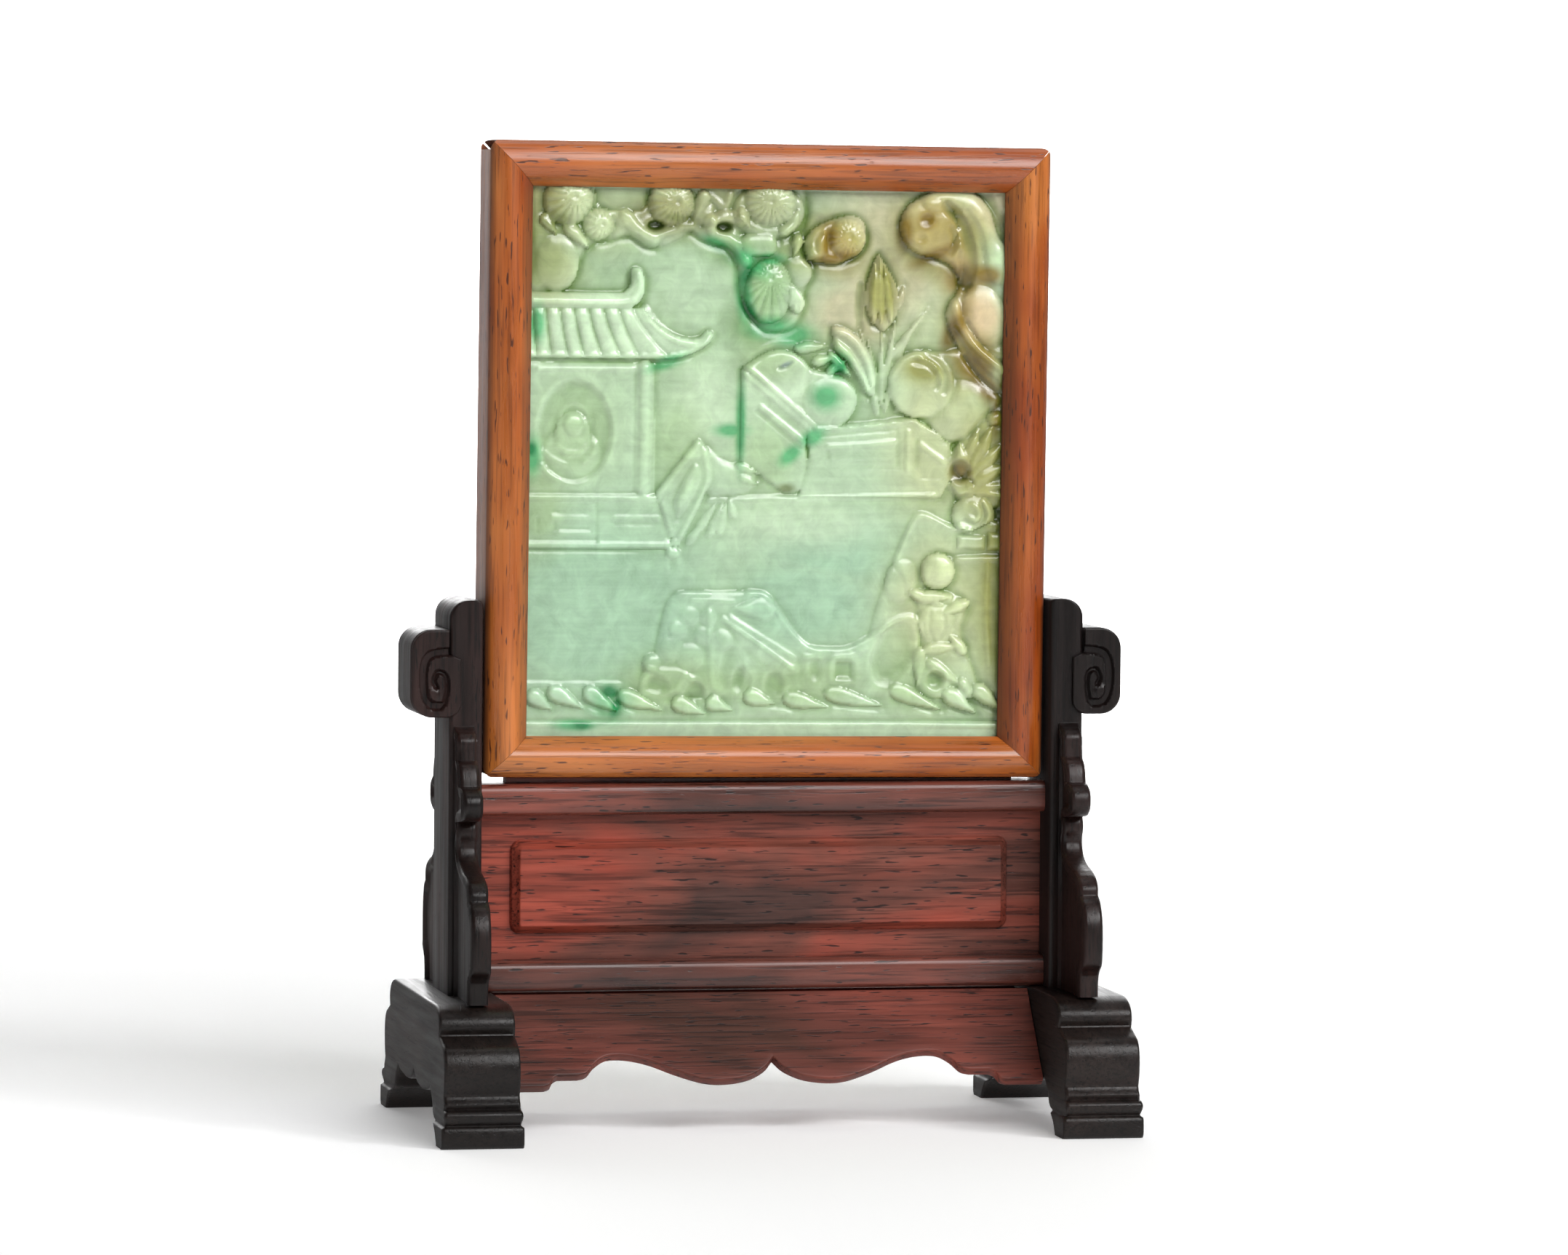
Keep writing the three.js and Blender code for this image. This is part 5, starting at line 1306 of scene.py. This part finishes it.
def jade_colours():
    """Colour of the stone as rows of linear colour: apple green, milkier in places, with
    emerald veins, off-white at the upper right and olive skin down the right edge. One dark olive
    entry is painted shade."""
    colour = np.zeros((*carving_x.shape, 4)) + np.array(linear("#B6D1AD"))
    stains = [
        # colour, strength, spots as x, z, half width, half height and, where it leans, degrees
        ("#A3C8A8", 0.9, [(-38, 28, 34, 26), (8, 30, 20, 12), (20, 42, 24, 9)]),
        ("#CBE3C0", 0.7, [(-40, 92, 22, 10), (4, 80, 10, 8), (10, 48, 20, 6), (-14, 74, 8, 12)]),
        ("#B2BC8C", 0.7, [(-42, 116, 16, 9), (-12, 119, 16, 8), (-50, 104, 9, 8)]),
        ("#A9C694", 0.6, [(-43, 68, 9, 12), (0, 62, 7, 9), (-20, 66, 7, 10), (-24, 10, 9, 5),
            (-2, 11, 16, 4)]),
        ("#CAC6A2", 0.95, [(27, 108, 18, 20), (51, 119, 7, 7), (20, 95, 12, 10)]),
        ("#C4CB98", 0.75, [(40, 68, 13, 26), (40, 30, 13, 22)]),
        ("#8E9048", 0.9, [(53, 62, 8, 16), (54.5, 34, 7, 30), (47, 86, 6, 9, 20), (41, 112, 11, 9),
            (16, 111, 7, 6, 30), (46, 103, 6, 5), (26, 100, 4.5, 9), (36, 83, 6, 4)]),
        ("#8B8C58", 0.9, [(-52, 119, 7, 8), (-24, 117, 9, 6)]),
        ("#9AA276", 0.85, [(-6, 118.5, 16, 7)]),
        ("#A4965A", 0.95, [(38, 114, 9, 9), (14, 110, 7, 5.5, 30)]),
        ("#93A168", 0.8, [(6, 109, 6, 6), (-51, 108, 6, 10)]),
        ("#86A874", 0.85, [(-1, 101, 6, 11), (-8, 109, 7, 4), (-2, 92, 9, 6)]),
        ("#9DB886", 0.7, [(0, 84, 8, 5), (14, 86, 7, 5), (-52, 52, 7, 12), (-20, 12, 14, 7),
            (12, 12, 14, 6), (34, 12, 10, 7)]),
        ("#B29E68", 0.9, [(46, 94, 6, 8), (44, 104, 5, 6)]),
        ("#92833F", 0.9, [(48, 85, 6, 5, -40)]),
        ("#A0A266", 0.85, [(50, 60, 7, 10)]),
        ("#7AB886", 0.8, [(-35, 7, 5, 5)]),
        ("#D6C29C", 0.8, [(49.6, 95.5, 4.0, 5.6, -18)]),
        ("#7A6314", 0.9, [(42.8, 91.5, 2.2, 6, 25), (44.6, 103.5, 3.0, 3.6), (31.0, 113.5, 1.8, 4.4),
            (48, 83, 3.0, 5, -40), (50.5, 79, 3.0, 6, -40), (53.6, 74, 2.0, 9), (44.6, 59.7, 2.6, 2.6),
            (13.4, 111, 1.8, 4.6, 10), (15, 107.6, 5.5, 1.6, -10), (38, 108.4, 6, 1.6, -25),
            (36, 116.2, 2.2, 2.2), (50, 104, 4, 2.4)]),
        # painted shade: dark olive in the hollows, under two needle domes and in strips beside both sight
        # edges under the frame's lip
        ("#5E6B1E", 0.7, [(53.9, 50, 1.3, 60), (-48, 115.2, 3, 1.8), (-20, 115.6, 5, 1.2, 10),
            (-26, 114, 2.2, 1.4), (-10.4, 113.8, 2.2, 1.4), (4.8, 55.6, 2.2, 1.2), (-54, 108, 1.6, 9)]),
        ("#3FAE6C", 0.8, [(-4.6, 106.4, 5.2, 2.6, 30), (-5.6, 98.5, 1.8, 7, -8), (0.5, 91.6, 5.6, 2.6),
            (13.4, 76.4, 3.6, 3.2), (10.6, 67.2, 3.6, 2.0, -30), (16.2, 83.4, 2.8, 3.2),
            (-23.0, 83.6, 5.0, 1.6, -20), (-52.6, 92.0, 2.0, 4.6), (-53.2, 62.5, 2.2, 4.6),
            (5.6, 63.2, 3.4, 1.8, -40), (-8, 68.6, 4.0, 1.6), (-5.8, 70, 1.2, 10), (-43, 2.4, 5, 1.4),
            (6.0, 90, 5, 3), (0.2, 107, 4, 1.4), (-12, 110.2, 4, 1.4, 25)]),
        ("#0C8244", 0.95, [(-34.8, 9.8, 2.2, 1.6, 20), (-33.4, 6.4, 1.3, 2.6, 15),
            (-41.0, 2.2, 2.4, 1.0), (16.6, 82.6, 1.3, 1.6), (-53.4, 64, 1.2, 1.6),
            (-5.0, 103.6, 1.4, 2.4, 20), (-4.2, 95.2, 1.2, 3.6, -35)]),
        ("#6F8090", 0.6, [(4.2, 83.4, 1.6, 0.6, -25)]),
    ]
    for stain, strength, spots in stains:
        cover = np.zeros(carving_x.shape)
        for spot in spots:
            cover = np.maximum(cover, soft_spot(*spot))
        colour += (np.array(linear(stain)) - colour) * (strength * cover)[..., None]
    return colour


def polished_jadeite():
    """Jadeite, ground and polished: a glassy, slightly oily gloss over stone that lets light in by
    a few millimetres. Sunken places are painted greener and darker, as painted shade, and raised
    ones paler, as painted highlight.
    The mottling is 2 to 6 mm across, and faint polishing lines run level."""
    material, output = new_material("polished_apple_green_jadeite")
    place = add_node(material, "ShaderNodeTexCoord").outputs["Object"]
    stone = add_node(material, "ShaderNodeAttribute", {"attribute_name": "stone_colour"})
    level = add_node(material, "ShaderNodeAttribute", {"attribute_name": "standing"})
    mottle = add_node(material, "ShaderNodeTexNoise",
                      {"Scale": 230.0, "Detail": 6.0, "Roughness": 0.6, "Distortion": 0.6},
                      {"Vector": place})
    drawn_out = add_node(material, "ShaderNodeMapping", {"Scale": (0.07, 1.0, 1.0)}, {"Vector": place})
    lines = add_node(material, "ShaderNodeTexNoise", {"Scale": 700.0, "Detail": 3.0},
                     {"Vector": drawn_out.outputs[0]})

    mottle_shade = add_node(material, "ShaderNodeMapRange",
                            {"From Min": 0.3, "From Max": 0.7, "To Min": 0.84, "To Max": 1.12},
                            {"Value": mottle.outputs["Fac"]})
    line_shade = add_node(material, "ShaderNodeMapRange",
                          {"From Min": 0.35, "From Max": 0.65, "To Min": 0.95, "To Max": 1.04},
                          {"Value": lines.outputs["Fac"]})
    shade = add_node(material, "ShaderNodeMath", {"operation": "MULTIPLY"},
                     {0: mottle_shade.outputs[0], 1: line_shade.outputs[0]})
    mottled = add_node(material, "ShaderNodeMix", TINT, {6: stone.outputs["Color"], 7: shade.outputs[0]})
    # painted shade: places sunk below their surroundings are multiplied towards a deeper green
    depth = add_node(material, "ShaderNodeMapRange", {"From Min": 0.0, "From Max": -0.9, "To Max": 0.9},
                     {"Value": level.outputs["Fac"]})
    with_painted_recess_shade = add_node(material, "ShaderNodeMix",
                        {"data_type": "RGBA", "blend_type": "MULTIPLY", 7: linear("#86A45A")},
                        {"Factor": depth.outputs[0], 6: mottled.outputs[2]})
    # painted highlight: places that stand above their surroundings are lightened up to 1.3 times
    crest = add_node(material, "ShaderNodeMapRange",
                     {"From Min": 0.08, "From Max": 0.8, "To Min": 1.0, "To Max": 1.3},
                     {"Value": level.outputs["Fac"]})
    with_painted_crest_highlight = add_node(material, "ShaderNodeMix", TINT, {6: with_painted_recess_shade.outputs[2], 7: crest.outputs[0]})

    bump = add_node(material, "ShaderNodeBump", {"Strength": 0.3, "Distance": 0.0003},
                    {"Height": mottle.outputs["Fac"]})
    scratched = add_node(material, "ShaderNodeBump", {"Strength": 0.15, "Distance": 0.0001},
                         {"Height": lines.outputs["Fac"], "Normal": bump.outputs[0]})
    shader = add_node(material, "ShaderNodeBsdfPrincipled",
                      {"Roughness": 0.27, "IOR": 1.66, "Subsurface Weight": 0.18,
                       "Subsurface Radius": (0.7, 1.0, 0.6), "Subsurface Scale": 0.0014},
                      {"Base Color": with_painted_crest_highlight.outputs[2], "Normal": scratched.outputs[0]})
    material.node_tree.links.new(shader.outputs[0], output.inputs["Surface"])
    return material


# the carved front is a grid; flat sides and a flat back close it
rows, columns = carving.shape
front = np.stack([carving_x, GROUND_PLANE - carving, carving_z + BOTTOM_MOULDING], axis=-1).reshape(-1, 3)
number = np.arange(rows * columns).reshape(rows, columns)
corners = number[[0, 0, -1, -1], [0, -1, -1, 0]]
back = front[corners] * [1, 0, 1] + [0, PLAQUE_BACK, 0]
back_number = rows * columns + np.arange(4)
rims = [number[0, :], number[:, -1], number[-1, ::-1], number[::-1, 0]]
sides = [[*rim[::-1], back_number[turn], back_number[(turn + 1) % 4]] for turn, rim in enumerate(rims)]
plaque = add_mesh("carved_jade_plaque", leaned(np.vstack([front, back])),
                  [*grid_faces(rows, columns), *sides, back_number[::-1]], polished_jadeite())
outward(plaque)
stone = np.vstack([jade_colours().reshape(-1, 4), np.tile(linear("#BBDBAF"), (4, 1))])
stone_colour = plaque.data.color_attributes.new("stone_colour", "FLOAT_COLOR", "POINT")
stone_colour.data.foreach_set("color", stone.ravel())
standing_level = plaque.data.attributes.new("standing", "FLOAT", "POINT")
standing_level.data.foreach_set("value", np.append(standing, np.zeros(4)))
fit_piece(plaque, "jade_plaque")
